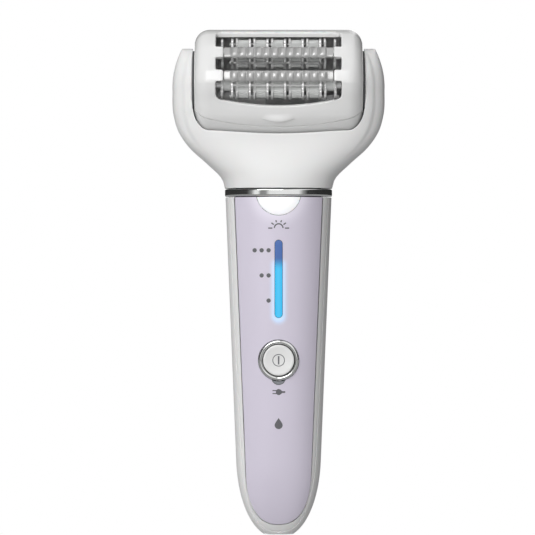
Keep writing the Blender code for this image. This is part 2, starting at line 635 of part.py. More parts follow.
def make_neck():
    room = barrel("head_room", HEAD_CLEARANCE, ARM_INNER)
    hollow_top = CRADLE_FLOOR - NECK_FLOOR
    sizes = (NECK_WALL_HALF_WIDTH, NECK_WALL_HALF_DEPTH, HANDLE_POWER)
    below = COLLAR_TOP - OVERSHOOT
    hollow = loft("neck_hollow", [superellipse(*sizes, below), superellipse(*sizes, hollow_top)])
    seat = loft("seal_seat", collar_rings((below, COLLAR_TOP + SEAL_REACH + GAP), SEAL_INSET - GAP))
    screw_z = COLLAR_TOP + NECK_SCREW_RISE
    bore_end = NECK_SCREW_SEAT_Y - NECK_SCREW_LENGTH - 5 * GAP
    tools = [room, hollow, seat]
    for side, x in (("left", -NECK_SCREW_X), ("right", NECK_SCREW_X)):
        screw(f"neck_screw_{side}", (x, NECK_SCREW_SEAT_Y, screw_z), -Y, NECK_SCREW_LENGTH)
        shank = SCREW_SHANK + RUNNING_GAP
        tools.append(rod(f"screw_bore_{side}", shank, (x, bore_end, screw_z), (x, FAR, screw_z), None, 12))
        head, seat_y = SCREW_HEAD + GAP, NECK_SCREW_SEAT_Y - GAP
        tools.append(rod(f"screw_well_{side}", head, (x, seat_y, screw_z), (x, FAR, screw_z), None, 16))
    bush_radius = PIVOT_RADIUS + RUNNING_GAP + BUSH_WALL
    for side, way in (("left", -1), ("right", 1)):
        start, end = ARM_INNER + GAP / 2, ARM_INNER + PIVOT_DEPTH
        place = PIVOT + X * way * start, PIVOT + X * way * end
        sleeve(f"pivot_bush_{side}", bush_radius, PIVOT_RADIUS + RUNNING_GAP, *place, "gear_plastic")
        place = PIVOT + X * way * (ARM_INNER - 2 * MM), PIVOT + X * way * (end + GAP)
        tools.append(rod(f"bush_seat_{side}", bush_radius + GAP / 2, *place, None, 24))
        place = PIVOT + X * way * (HEAD_INNER_END + 0.1 * MM), PIVOT + X * way * (end - GAP)
        rod(f"pivot_pin_{side}", PIVOT_RADIUS, *place, "steel", 24)
    for name, low_y, high_y in (("neck_front", -FAR, -GAP / 2), ("neck_rear", GAP / 2, FAR)):
        half = neck_solid(name, "white_plastic")
        keep(half, block(name + "_side", (-FAR, low_y, 0.0), (FAR, high_y, FAR)))
        cut(half, *tools)


def make_motor_lead():
    """The two-core lead from the board up to the floor of the cradle."""
    start = np.array([-4.0 * MM, FRAME_BACK_Y + 1.6 * MM, HANDLE_TOP - BOARD_TOP_DROP - 8 * MM])
    end = np.array([-6.0 * MM, 4.0 * MM, CRADLE_FLOOR - NECK_FLOOR - 1 * MM])
    rings = []
    for t in np.linspace(0, 1, 10):
        centre = start + (end - start) * t + Y * 2.5 * MM * math.sin(math.pi * t)
        rings.append(superellipse(LEAD_RADIUS, LEAD_RADIUS, 2.0, 0.0, 8) + centre)
    loft("motor_lead", rings, "black_plastic")


# ---------------------------------------------------------------- head


def crown_share(angle):
    """How much of the crown the barrel has at an angle: none on the working face, all underneath."""
    back = abs((angle - 225.0 + 180.0) % 360.0 - 180.0)
    return float(np.clip((135.0 - back) / 30.0, 0.0, 1.0))


def barrel(name, growth, half_length, finish=None):
    """The head's form about the tilt axis, grown or shrunk by a distance, between two flat ends."""
    rounding = max(0.6 * MM, HEAD_END_ROUNDING + growth)
    straight = half_length - rounding
    right = [0.5 * straight] + [straight + rounding * math.sin(math.radians(a)) for a in (0, 35, 62)]
    right.append(half_length)
    angles = np.arange(2, 362, 10)
    rings = []
    for x in [-x for x in reversed(right)] + [0.0] + right:
        over = max(0.0, abs(x) - straight)
        drop = rounding - math.sqrt(max(0.0, rounding**2 - over**2))
        drop = min(drop, 0.82 * rounding)
        crown = HEAD_CROWN * (x / HEAD_HALF_LENGTH) ** 2
        ring = [
            PIVOT + X * x + radial(angle) * (HEAD_RADIUS + growth - drop - crown * crown_share(angle))
            for angle in angles
        ]
        rings.append(ring)
    return loft(name, rings, finish)


def slot_cutter(name, low_angle, high_angle, half_width, sag=0.0):
    """A cutter straight out through the cover between two angles, its lower edge bowed down by a sag."""
    middle = (low_angle + high_angle) / 2
    half = HEAD_RADIUS * math.sin(math.radians(high_angle - low_angle) / 2)
    out, down = radial(middle), radial(middle + 90)
    corner = 0.8 * MM
    lower = [(x * half_width, half - sag * x * x) for x in np.linspace(-0.96, 0.96, 9)]
    upper = [(half_width, -half + corner), (half_width - corner, -half), (-half_width + corner, -half)]
    outline = lower + [(half_width, half - sag - corner)] + upper
    outline += [(-half_width, -half + corner), (-half_width, half - sag - corner)]
    return prism(name, outline, PIVOT + out * 8 * MM, X, down, out * 20 * MM)


def cover_side(name, side):
    """A block that holds everything on one side of the plane that parts the cover from the base."""
    out, down = radial(COVER_ANGLE), radial(COVER_ANGLE + 90)
    start = COVER_OFFSET + GAP / 2 if side == "cover" else COVER_OFFSET - GAP / 2
    depth = out * FAR if side == "cover" else -out * FAR
    outline = [(-FAR, -FAR), (FAR, -FAR), (FAR, FAR), (-FAR, FAR)]
    return prism(name, outline, PIVOT + out * start, X, down, depth)


def make_head_shells():
    hollow = barrel("head_hollow", -HEAD_WALL, HEAD_INNER_END)
    base = barrel("head_base", 0.0, HEAD_HALF_LENGTH, "white_plastic")
    cut(base, hollow)
    keep(base, cover_side("base_half", "base"))
    cover = barrel("head_cover", 0.0, HEAD_HALF_LENGTH, "white_plastic")
    cut(cover, hollow)
    keep(cover, cover_side("cover_half", "cover"))
    for side, way in (("left", -1), ("right", 1)):
        start = PIVOT + X * way * (HEAD_INNER_END - OVERSHOOT)
        cut(base, rod(f"pin_hole_{side}", PIVOT_RADIUS + GAP / 2, start, PIVOT + X * way * FAR, None, 24))
    for i, (low, high) in enumerate(SLOT_ANGLES):
        sag = CHIN_SAG if i == len(SLOT_ANGLES) - 1 else 0.0
        cut(cover, slot_cutter(f"slot_{i + 1}", low, high, SLOT_HALF_WIDTH, sag))
    names = ("guard_bar_upper", "guard_bar_lower")
    for name, above, below in zip(names, SLOT_ANGLES, SLOT_ANGLES[1:]):
        cut(cover, slot_cutter(name + "_gap", above[1] - 2, below[0] + 2, TAB_REACH))
        guard_bar(name, above[1], below[0])


def guard_bar(name, low_angle, high_angle):
    """A bar across the opening with both long edges rippled by its round lobes."""
    middle = (low_angle + high_angle) / 2
    half = HEAD_RADIUS * math.sin(math.radians(high_angle - low_angle) / 2)
    out, down = radial(middle), radial(middle + 90)
    reach = TAB_REACH - GAP
    xs = np.linspace(-reach, reach, 4 * GUARD_LOBES + 1)
    ripple = half + GUARD_RIPPLE * np.cos(math.pi * (xs / reach + 1) * GUARD_LOBES)
    outline = list(zip(xs, ripple)) + list(zip(xs[::-1], -ripple[::-1]))
    rise = math.sqrt(HEAD_RADIUS**2 - half**2)
    back = PIVOT + out * (rise - GUARD_THICKNESS)
    prism(name, outline, back, X, down, out * GUARD_THICKNESS, "silver_plastic")


def lobe_turns(phase):
    return [phase + 90 * k + turn for k in range(4) for turn in (-14, 14, 45)]


def lobed(valley, tip, phase):
    """The radii and angles of a four-lobed section: two points on each lobe's tip and one in each valley."""
    return [tip, tip, valley] * 4, lobe_turns(phase)


def section_ring(axis, x, radii, angles):
    return [axis + X * x + radial(angle) * radius for radius, angle in zip(radii, angles)]


def plate_places():
    """Where the fixed plates stand along a rotor."""
    middle = (PLATES - 1) / 2
    return [(i - middle) * PLATE_PITCH for i in range(PLATES)]


def make_rotor(name, axis, phase):
    """A shaft with a core of ribbed blocks, each with a fixed plate on its left, in one piece."""
    turns = lobe_turns(phase)
    plate = lobed(ROTOR_VALLEY, ROTOR_TIP, phase)
    ribbed = lobed(ROTOR_VALLEY, ROTOR_BLOCK, phase)
    core, shaft = ([ROTOR_CORE] * len(turns), turns), ([ROTOR_SHAFT] * len(turns), turns)
    room = PLATE_THICKNESS + COMB_TRAVEL + 2 * GAP
    stations = [(-CHASSIS_OUTER - 1.0 * MM, shaft)]
    start = -PLATE_PITCH * PLATES / 2 - 1.5 * MM
    stations += [(start, shaft), (start, core)]
    for x in plate_places():
        block_end = x + PLATE_PITCH - room
        stations += [(x, core), (x, plate), (x + PLATE_THICKNESS, plate), (x + PLATE_THICKNESS, ribbed)]
        stations += [(block_end, ribbed), (block_end, core)]
    end = plate_places()[-1] + PLATE_PITCH
    stations += [(end, core), (end, shaft), (GEAR_OUTER + 0.4 * MM, shaft)]
    return loft(name, [section_ring(axis, x, *shape) for x, shape in stations], "steel")


def make_comb(name, axis, phase):
    """The sliding plates of a rotor, joined by four rods that run in its valleys."""
    radii, angles = lobed(PLATE_VALLEY, ROTOR_TIP, phase)
    count = len(angles)
    hole = [ROTOR_CORE + RUNNING_GAP] * count
    verts, faces = [], []
    for x in plate_places():
        left = x - GAP - COMB_TRAVEL - PLATE_THICKNESS
        right = left + PLATE_THICKNESS
        base = len(verts)
        for shape, at in ((radii, left), (radii, right), (hole, right), (hole, left)):
            verts += section_ring(axis, at, shape, angles)
        for i in range(4):
            here, there = base + i * count, base + (i + 1) % 4 * count
            for j in range(count):
                m = (j + 1) % count
                faces.append((here + j, here + m, there + m, there + j))
    comb = body(name, verts, faces, "steel")
    start = plate_places()[0] - GAP - COMB_TRAVEL - PLATE_THICKNESS - 0.4 * MM
    end = plate_places()[-1]
    for k in range(4):
        centre = axis + radial(phase + 45 + 90 * k) * COMB_ROD_ORBIT
        join(comb, rod(f"{name}_rod_{k + 1}", COMB_ROD, centre + X * start, centre + X * end, None, 4))


def mesh_phase(phase, teeth, mate_teeth, direction):
    """The angle of a tooth of the mating gear, so that it meets a gap of a gear at this phase."""
    pitch, mate_pitch = 360 / teeth, 360 / mate_teeth
    offset = (phase - direction) % pitch
    return direction + 180 - offset * teeth / mate_teeth + mate_pitch / 2


def make_gear(name, axis, teeth, phase, bore, finish):
    radius = GEAR_MODULE * teeth / 2
    root, tip = radius - GEAR_DEDENDUM * GEAR_MODULE, radius + GEAR_ADDENDUM * GEAR_MODULE
    pitch = 360 / teeth
    radii, angles = [], []
    for k in range(teeth):
        for share, r in ((-0.29, root), (-0.13, tip), (0.13, tip), (0.29, root)):
            radii.append(r)
            angles.append(phase + pitch * (k + share))
    rings = [section_ring(axis, x, radii, angles) for x in (GEAR_INNER, GEAR_OUTER)]
    gear = loft(name, rings, finish)
    if bore:
        start, end = axis + X * (GEAR_INNER - 2 * MM), axis + X * (GEAR_OUTER + 2 * MM)
        cut(gear, rod(name + "_bore", bore, start, end, None, 16))
    return gear


def make_drive():
    """The two rotors and their gears, the motor, and the two plates that carry them."""
    rotor_axes = [PIVOT + radial(angle) * ROTOR_ORBIT for angle in ROTOR_ANGLES]
    motor_axis = PIVOT + radial(MOTOR_ANGLE) * MOTOR_ORBIT
    centre_phase = ROTOR_ANGLES[0]
    make_gear("centre_gear", PIVOT, CENTRE_TEETH, centre_phase, GEAR_PIN_RADIUS + RUNNING_GAP, "gear_plastic")
    for name, axis, angle, lobe in zip(("rear", "front"), rotor_axes, ROTOR_ANGLES, ROTOR_LOBE_PHASES):
        make_rotor(f"rotor_{name}", axis, lobe)
        make_comb(f"tweezer_comb_{name}", axis, lobe)
        phase = mesh_phase(centre_phase, CENTRE_TEETH, ROTOR_TEETH, angle)
        make_gear(f"rotor_gear_{name}", axis, ROTOR_TEETH, phase, ROTOR_SHAFT + GAP / 2, "gear_plastic")

    phase = mesh_phase(centre_phase, CENTRE_TEETH, PINION_TEETH, MOTOR_ANGLE)
    pinion = make_gear("motor_pinion", motor_axis, PINION_TEETH, phase, 0.0, "brass")
    motor_end = CHASSIS_INNER - GAP
    start, end = motor_axis + X * (motor_end - 2.5 * MM), motor_axis + X * (GEAR_INNER + GEAR_FACE / 2)
    join(pinion, rod("motor_shaft", MOTOR_SHAFT, start, end))
    start, end = motor_axis + X * (motor_end - MOTOR_LENGTH), motor_axis + X * motor_end
    case = rod("motor_case", MOTOR_RADIUS, start, end, "steel", 24)
    bore = MOTOR_SHAFT + RUNNING_GAP
    cut(case, rod("motor_bore", bore, end - X * 3 * MM, end + X * 3 * MM, None, 12))

    profile = [
        (GEAR_PIN_RADIUS, CHASSIS_INNER),
        (GEAR_PIN_RADIUS, GEAR_OUTER + GAP),
        (GEAR_PIN_HEAD, GEAR_OUTER + GAP),
        (GEAR_PIN_HEAD, HEAD_INNER_END - GAP),
    ]
    turned("gear_pin", profile, PIVOT, X, "steel", 16)

    plate_radius = HEAD_RADIUS - HEAD_WALL - CHASSIS_INSET
    for side, way in (("left", -1), ("right", 1)):
        inner, outer = PIVOT + X * way * CHASSIS_INNER, PIVOT + X * way * CHASSIS_OUTER
        plate = rod(f"chassis_{side}", plate_radius, inner, outer, "silver_plastic", 32)
        shaft_bore = ROTOR_SHAFT + RUNNING_GAP
        holes = [(f"{side}_rotor_hole_{i}", axis, shaft_bore) for i, axis in enumerate(rotor_axes)]
        if side == "right":
            holes += [("pinion_hole", motor_axis, bore), ("gear_pin_hole", PIVOT, GEAR_PIN_RADIUS + GAP / 2)]
        for name, axis, radius in holes:
            reach = X * way * (CHASSIS_INNER - 2 * MM), X * way * (CHASSIS_OUTER + 2 * MM)
            cut(plate, rod(name, radius, axis + reach[0], axis + reach[1], None, 16))


def main():
    for old in list(bpy.data.objects):
        bpy.data.objects.remove(old)
    make_handle_shells()
    make_collar()
    make_lights()
    make_button()
    make_handle_inside()
    make_inlet()
    make_neck()
    make_motor_lead()
    make_head_shells()
    make_drive()


main()
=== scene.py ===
"""A cordless epilator's finished surfaces and materials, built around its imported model."""

import json
import math

import bmesh
import bpy
import numpy as np
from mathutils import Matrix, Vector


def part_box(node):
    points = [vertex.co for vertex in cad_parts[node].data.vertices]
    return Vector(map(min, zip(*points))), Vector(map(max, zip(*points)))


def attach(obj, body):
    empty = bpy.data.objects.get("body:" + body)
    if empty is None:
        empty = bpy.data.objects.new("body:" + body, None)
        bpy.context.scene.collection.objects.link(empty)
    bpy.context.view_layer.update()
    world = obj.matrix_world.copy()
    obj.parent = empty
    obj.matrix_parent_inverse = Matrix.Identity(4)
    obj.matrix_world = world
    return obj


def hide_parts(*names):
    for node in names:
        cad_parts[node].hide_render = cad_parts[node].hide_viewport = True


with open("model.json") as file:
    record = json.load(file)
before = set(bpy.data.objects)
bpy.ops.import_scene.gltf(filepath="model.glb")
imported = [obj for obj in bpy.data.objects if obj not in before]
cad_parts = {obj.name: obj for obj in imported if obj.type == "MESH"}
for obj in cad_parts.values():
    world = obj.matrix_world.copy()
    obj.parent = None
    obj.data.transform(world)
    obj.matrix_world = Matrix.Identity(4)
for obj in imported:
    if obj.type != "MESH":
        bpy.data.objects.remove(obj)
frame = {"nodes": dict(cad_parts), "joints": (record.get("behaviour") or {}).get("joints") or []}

bl_info = {
    "name": "Epilator surfaces",
    "version": (1, 0, 0),
    "blender": (4, 5, 0),
    "location": "3D View > Sidebar > Epilator",
    "description": "Builds the outer surfaces, small parts and materials of a cordless epilator",
    "category": "Object",
}

MM = 0.001
GAP = 0.3 * MM  # between pieces that touch
MERGE = 1e-7  # points closer than this are one


def joint_place(name):
    """Where a joint of the frame stands, as an array."""
    return np.array(next(j for j in frame["joints"] if j["name"] == name)["pos_m"], dtype=float)


PIVOT = joint_place("head_tilt")
ROTOR_AXES = {"rear": joint_place("rear_rotor_spin"), "front": joint_place("front_rotor_spin")}
HANDLE_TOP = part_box("rear_shell")[1].z
COLLAR_LOW, COLLAR_HIGH = (corner.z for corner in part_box("chrome_collar"))
NECK_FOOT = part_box("neck_front")[0].z
ARM_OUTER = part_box("neck_front")[1].x
HEAD_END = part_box("head_base")[1].x
BAR_LOW, BAR_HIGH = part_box("speed_light_bar")
RING_LOW, RING_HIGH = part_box("button_ring")
BUTTON_LOW, BUTTON_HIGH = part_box("power_button")
BUTTON_Z = (RING_LOW.z + RING_HIGH.z) / 2
LAMP_LOW, LAMP_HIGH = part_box("charge_lamp_lens")
WINDOW_LOW, WINDOW_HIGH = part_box("light_window")
INLET_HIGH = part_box("inlet_socket")[1]
FAR = 0.05  # past the whole model's surface, for what cuts through it

# the handle's form
HANDLE_FOOT_HALF = np.array([13.3, 10.8]) * MM  # half width and half depth of the full section at z = 0
HANDLE_TOP_HALF = np.array([17.9, 15.0]) * MM
HANDLE_POWER = 2.5
FOOT_ROUNDING = 25.0 * MM
FOOT_POWER = 2.2
FOOT_FLAT_SHARE = 0.38  # of the full section, round the inlet
PANEL_FOOT = 3.5 * MM
PANEL_ROUNDING = 17.0 * MM
PANEL_POWER = 2.3
LEDGE = 1.8 * MM  # of the rim under the panel
CAP_DISH = 0.3 * MM
DISH_SHARE = 0.86  # of the power button's radius
CAP_ROUNDING = 0.45 * MM
RING_CROWN = 0.55 * MM

# the neck's form: shares of its height against shares of its flare
NECK_FLARE = (
    ((0.0, 0.0), (0.094, 0.056), (0.24, 0.333), (0.40, 0.672))
    + ((0.545, 0.87), (0.72, 0.977), (1.0, 1.0))
)
ARM_RADIUS = 13.1 * MM
ARM_TOP_SHARE = 0.82
ARM_POWER = 4.0
CREASE_INSET = 4.4 * MM  # of the crease from the silhouette
CREASE_WIDTH = 1.2 * MM
CREASE_DEPTH = 0.9 * MM
CREASE_START = NECK_FOOT + 9 * MM
CREASE_RISE = 12 * MM
CRADLE_END_SHARE = 0.80
# rows of the cradle, and of the dark strip painted inside its rim as shade
CRADLE_ROWS, SHADE_STRIP_ROWS = 15, 8
NECK_PARTING = 0.04 * MM  # between the two halves
NECK_EDGE = 0.9 * MM  # rounding of the cradle's rim and of the arms' inner edges
ARM_INNER = HEAD_END + 0.7 * MM

# the head's form, with angles in degrees from +Z towards the front
COVER_ANGLE = 57.5
COVER_OFFSET = 4.2 * MM
SLOT_ANGLES = ((23.4, 46.5), (59.8, 75.0), (86.2, 106.5))
END_ROUNDING = 5.0 * MM
CROWN = 1.9 * MM
CHIN_SAG = 2.0 * MM
# radius of the dark discs painted as shade in the gaps beside the head
PAD_RADIUS = 12.3 * MM
FACE_FLATS = ((20.0, 65.0, 0.7 * MM), (85.0, 42.0, 0.9 * MM))  # start, span in degrees and depth
BUMP_TOP, BUMP_EDGE, BUMP_CURVE = 118.5, 126.6, 1.4  # degrees
BUMP_HALF_WIDTH = 5.3 * MM
BUMP_HEIGHT = 1.0 * MM
PARTING_RISE, PARTING_START = 11.0, 112.0  # degrees
LIP = 0.45 * MM  # rounding of the opening's rim
SLOT_CORNER = 0.8 * MM
TAB_CORNER = 0.5 * MM
CHIN_CORNER = 2.5 * MM
END_DROP_SHARE = 0.82

# the rotors, with phases in degrees
ROTOR_PHASES = {"rear": 20.0, "front": 45.0}
ROTOR_TIP, ROTOR_VALLEY, COMB_VALLEY = 5.2 * MM, 2.3 * MM, 4.1 * MM
BLOCK_TIP, CORE, SHAFT = 4.6 * MM, 1.9 * MM, 1.1 * MM
PLATE_SIDE = 0.4 * MM  # from the middle of an open gap to the plate on each side of it
END_PLATE_SHARE = 0.97  # of the other plates' radius
END_PLATES = (-4.6 * MM, 3.8 * MM)  # where they start, from the first and the last plate's place
ROD_CIRCLE, ROD_RADIUS = 3.5 * MM, 0.4 * MM

# the printed symbols
PRINT_HEIGHT = 0.04 * MM
SYMBOL_RISE = 4.0 * MM  # of the lamp symbol over the light bar

# the studio's level of grey by the sideways part of a direction
DIFFUSE_STOPS = ((-1.0, 0.52), (-0.1, 0.70), (0.24, 0.55), (0.56, 0.14), (1.0, 0.05))
GLOSSY_STOPS = (
    ((-1.0, 0.04), (-0.76, 0.05), (-0.62, 0.30), (-0.50, 1.0), (-0.40, 1.0), (-0.34, 0.28))
    + ((-0.20, 0.34), (-0.12, 1.0), (0.38, 1.0), (0.52, 0.35), (0.66, 0.05), (1.0, 0.03))
)


def length(name, description, value):
    """A length property with a name, a description and a default."""
    return bpy.props.FloatProperty(name=name, description=description, default=value, unit="LENGTH")


def number(name, description, value):
    """A whole number property with a name, a description and a default."""
    return bpy.props.IntProperty(name=name, description=description, default=value)


def colour(name, description, value):
    """A colour property with a name, a description and a default."""
    return bpy.props.FloatVectorProperty(
        name=name, description=description, subtype="COLOR", size=3, min=0.0, max=1.0, default=value
    )


class EpilatorSizes(bpy.types.PropertyGroup):
    """Sizes that can be changed without moving any piece of the model."""

    panel_margin: length("Panel margin", "Width of the white rim round the front panel", 3.1 * MM)
    panel_thickness: length("Panel thickness", "Wall of the front panel", 1.4 * MM)
    parting_foot_y: length("Parting at the foot", "Where the parting line passes under the foot", -5.0 * MM)
    casing_wall: length("Casing wall", "Wall of the rear casing", 2.0 * MM)
    parting_y: length("Casing parting", "Plane where the rear casing meets the rim", -7.0 * MM)
    head_radius: length("Head radius", "Radius of the head about its pivot", 19.5 * MM)
    head_wall: length("Head wall", "Wall of the head's base and cap", 1.4 * MM)
    head_clearance: length("Head clearance", "Gap under the head in its cradle", 0.8 * MM)
    opening_half_width: length("Opening half width", "Half the width of the cap's slots", 21.0 * MM)
    tab_reach: length("Tab reach", "Where the tabs that hold the guard bars end", 18.4 * MM)
    guard_lobes: number("Guard lobes", "Round lobes along each guard bar", 12)
    plate_pitch: length("Plate pitch", "Spacing of the tweezer plates", 5.9 * MM)
    plate_count: number("Plates", "Tweezer plates along each rotor", 6)
    plate_thickness: length("Plate thickness", "Thickness of a tweezer plate", 0.8 * MM)
    edge_rounding: length("Edge rounding", "Rounding of the moulded edges", 0.35 * MM)


class EpilatorColours(bpy.types.PropertyGroup):
    """Base colours of the finishes, as linear values."""

    white: colour("White", "Satin white mouldings", (0.80, 0.80, 0.795))
    lavender: colour("Lavender", "Pearl front panel", (0.69, 0.645, 0.755))
    silver: colour("Silver", "Silvered guard bars", (0.52, 0.52, 0.515))
    cyan: colour("Cyan", "Lower part of the light bar", (0.03, 0.48, 0.86))
    blue: colour("Blue", "Upper part of the light bar", (0.06, 0.13, 0.36))
    ink: colour("Ink", "Printed symbols", (0.12, 0.12, 0.13))


def sizes():
    return bpy.context.scene.epilator_sizes


def colours():
    return bpy.context.scene.epilator_colours


# ---------------------------------------------------------------- shader maths


class Signal:
    """A node's output socket whose arithmetic adds Math nodes to its tree."""

    def __init__(self, shader, socket):
        self.shader = shader
        self.socket = socket

    def math(self, operation, *others, first=None):
        values = [self if first is None else first, *others]
        return self.shader.node("ShaderNodeMath", {"operation": operation}, dict(enumerate(values)))

    def __add__(self, other):
        return self.math("ADD", other)

    def __radd__(self, other):
        return self.math("ADD", other)

    def __sub__(self, other):
        return self.math("SUBTRACT", other)

    def __rsub__(self, other):
        return self.math("SUBTRACT", self, first=other)

    def __mul__(self, other):
        return self.math("MULTIPLY", other)

    def __rmul__(self, other):
        return self.math("MULTIPLY", other)

    def __truediv__(self, other):
        return self.math("DIVIDE", other)

    def __pow__(self, other):
        return self.math("POWER", other)

    def __abs__(self):
        return self.math("ABSOLUTE")

    def sin(self):
        return self.math("SINE")

    def minimum(self, other):
        return self.math("MINIMUM", other)

    def maximum(self, other):
        return self.math("MAXIMUM", other)

    def step(self, low, high):
        """0 below low and 1 above high, smooth between them; low may be the greater."""
        if low > high:
            return 1 - self.step(high, low)
        settings = {"interpolation_type": "SMOOTHSTEP"}
        values = {"Value": self, "From Min": low, "From Max": high}
        return self.shader.node("ShaderNodeMapRange", settings, values)

    def band(self, centre, half, soft):
        """1 within half of the centre, falling to 0 over the soft distance outside it."""
        return abs(self - centre).step(half + soft, half)


class Shader:
    """One material: node() makes any node, and the other methods name what the finishes share."""

    def __init__(self, name):
        self.material = bpy.data.materials.new(name)
        self.material.use_nodes = True
        self.tree = self.material.node_tree
        self.surface = self.tree.nodes["Principled BSDF"]

    def node(self, kind, settings=None, values=None, output=0):
        made = self.tree.nodes.new(kind)
        for key, value in (settings or {}).items():
            if key == "stops":
                self.set_stops(made, value)
            else:
                setattr(made, key, value)
        for key, value in (values or {}).items():
            self.feed(made.inputs[key], value)
        return Signal(self, made.outputs[output])

    def set_stops(self, ramp, stops):
        elements = ramp.color_ramp.elements
        while len(elements) < len(stops):
            elements.new(0.5)
        for element, (place, shade) in zip(elements, stops):
            element.position = place
            element.color = (*shade, 1.0)

    def feed(self, socket, value):
        if isinstance(value, Signal):
            self.tree.links.new(value.socket, socket)
        elif socket.type == "RGBA" and len(value) == 3:
            socket.default_value = (*value, 1.0)
        else:
            socket.default_value = value

    def set(self, **values):
        """Feeds sockets of the surface; an underscore stands for a space."""
        for key, value in values.items():
            self.feed(self.surface.inputs[key.replace("_", " ")], value)

    def place(self):
        """The point on the piece, in the model's frame, in millimetres."""
        point = self.node("ShaderNodeTexCoord", output=3)
        return self.node("ShaderNodeVectorMath", {"operation": "SCALE"}, {0: point, "Scale": 1 / MM})

    def axes(self):
        """The point's x, y and z, in millimetres."""
        split = self.node("ShaderNodeSeparateXYZ", values={0: self.place()})
        return [Signal(self, split.socket.node.outputs[i]) for i in range(3)]

    def noise(self, scale, detail=2.0, stretch=(1.0, 1.0, 1.0)):
        """Smooth noise from 0 to 1, with scale features to a millimetre."""
        point = self.node("ShaderNodeVectorMath", {"operation": "MULTIPLY"}, {0: self.place(), 1: stretch})
        return self.node("ShaderNodeTexNoise", values={"Vector": point, "Scale": scale, "Detail": detail})

    def mix(self, factor, first, second):
        """A colour between two others."""
        settings = {"data_type": "RGBA", "clamp_factor": True}
        return self.node("ShaderNodeMix", settings, {0: factor, 6: first, 7: second}, output=2)

    def bump(self, height, depth):
        """Relief of a depth in millimetres from a height between 0 and 1."""
        relief = {"Height": height, "Strength": 1.0, "Distance": depth * MM}
        self.set(Normal=self.node("ShaderNodeBump", values=relief))


def shade(base, factor):
    return tuple(channel * factor for channel in base)


# ---------------------------------------------------------------- mesh building


def grid_of(x, y, z):
    """Points by their coordinates, which are numbers or arrays whose shapes match."""
    return np.stack(np.broadcast_arrays(x, y, z), axis=-1)


def full_turn(count):
    """Angles spaced evenly round a circle."""
    return np.linspace(0, 2 * np.pi, count + 1)[:-1]


class Skin:
    """Grids of points gathered into one mesh. Edges that coincide are merged when the piece is made."""

    def __init__(self):
        self.points = []
        self.faces = []
        self.count = 0

    def add(self, points, faces):
        self.points.append(points.reshape(-1, 3))
        self.faces += (faces + self.count).tolist()
        self.count += len(self.points[-1])

    def sheet(self, grid, wrap_rows=False, wrap_columns=False):
        """Quads between the neighbours of a (rows, columns, 3) grid, joined end to end where it wraps."""
        rows, columns = grid.shape[:2]
        i = np.arange(rows if wrap_rows else rows - 1)[:, None]
        j = np.arange(columns if wrap_columns else columns - 1)[None, :]
        below, right = (i + 1) % rows, (j + 1) % columns
        corners = [i * columns + j, i * columns + right, below * columns + right, below * columns + j]
        self.add(grid, np.stack(corners, axis=-1).reshape(-1, 4))

    def slab(self, outer, inner, rims="top bottom left right", wrap=False):
        """Two matching grids and the strips that join them along the rims that are named."""
        self.sheet(outer, wrap_columns=wrap)
        self.sheet(inner[::-1], wrap_columns=wrap)
        edges = {
            "top": (inner[0], outer[0]),
            "bottom": (outer[-1], inner[-1]),
            "left": (outer[:, 0], inner[:, 0]),
            "right": (inner[:, -1], outer[:, -1]),
        }
        for rim in rims.split():
            self.sheet(np.stack(edges[rim]), wrap_columns=wrap and rim in ("top", "bottom"))

    def fan(self, loop):
        """Triangles from a loop's middle point to its edges."""
        count = len(loop)
        j = np.arange(count)
        faces = np.stack([j, (j + 1) % count, np.full(count, count)], axis=-1)
        self.add(np.vstack([loop, loop.mean(axis=0)]), faces)

    def tube(self, rings):
        """Closed loops joined one after the other, with both ends filled."""
        self.sheet(rings, wrap_columns=True)
        self.fan(rings[0])
        self.fan(rings[-1])


def clean(mesh, sharp=40):
    """Merges doubles, turns the faces outwards and shades smooth up to an angle in degrees."""
    bm = bmesh.new()
    bm.from_mesh(mesh)
    bmesh.ops.remove_doubles(bm, verts=bm.verts, dist=MERGE)
    bmesh.ops.recalc_face_normals(bm, faces=bm.faces)
    bm.to_mesh(mesh)
    bm.free()
    mesh.shade_smooth()
    mesh.set_sharp_from_angle(angle=math.radians(sharp))


def mesh_object(name, skin):
    """A cleaned mesh object from a skin."""
    mesh = bpy.data.meshes.new(name)
    mesh.from_pydata(np.vstack(skin.points).tolist(), [], skin.faces)
    clean(mesh)
    made = bpy.data.objects.new(name, mesh)
    bpy.context.scene.collection.objects.link(made)
    return made


def cut_out(made, cutters):
    """Cuts skins out of an object, and keeps the result as its mesh."""
    tools = [mesh_object("cutter", skin) for skin in cutters]
    for tool in tools:
        step = made.modifiers.new("cut", "BOOLEAN")
        step.object = tool
        step.operation = "DIFFERENCE"
    result = bpy.data.meshes.new_from_object(made.evaluated_get(bpy.context.evaluated_depsgraph_get()))
    made.modifiers.clear()
    made.data = result
    for tool in tools:
        bpy.data.objects.remove(tool)
    clean(result)


def finish_piece(made, body, finish, replaces=(), bevel=0.0, segments=3):
    """Gives a piece its finish, its rounded edges, its body and the nodes that it stands for."""
    made.data.materials.clear()
    made.data.materials.append(material(finish))
    if bevel:
        step = made.modifiers.new("rounded edges", "BEVEL")
        step.width = bevel
        step.segments = segments
        step.limit_method = "ANGLE"
        step.angle_limit = math.radians(40)
        made.data.shade_smooth()
    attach(made, body)
    if replaces:
        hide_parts(*replaces)
    return made


def piece(name, skin, body, finish, replaces=(), bevel=0.0, segments=3):
    return finish_piece(mesh_object(name, skin), body, finish, replaces, bevel, segments)


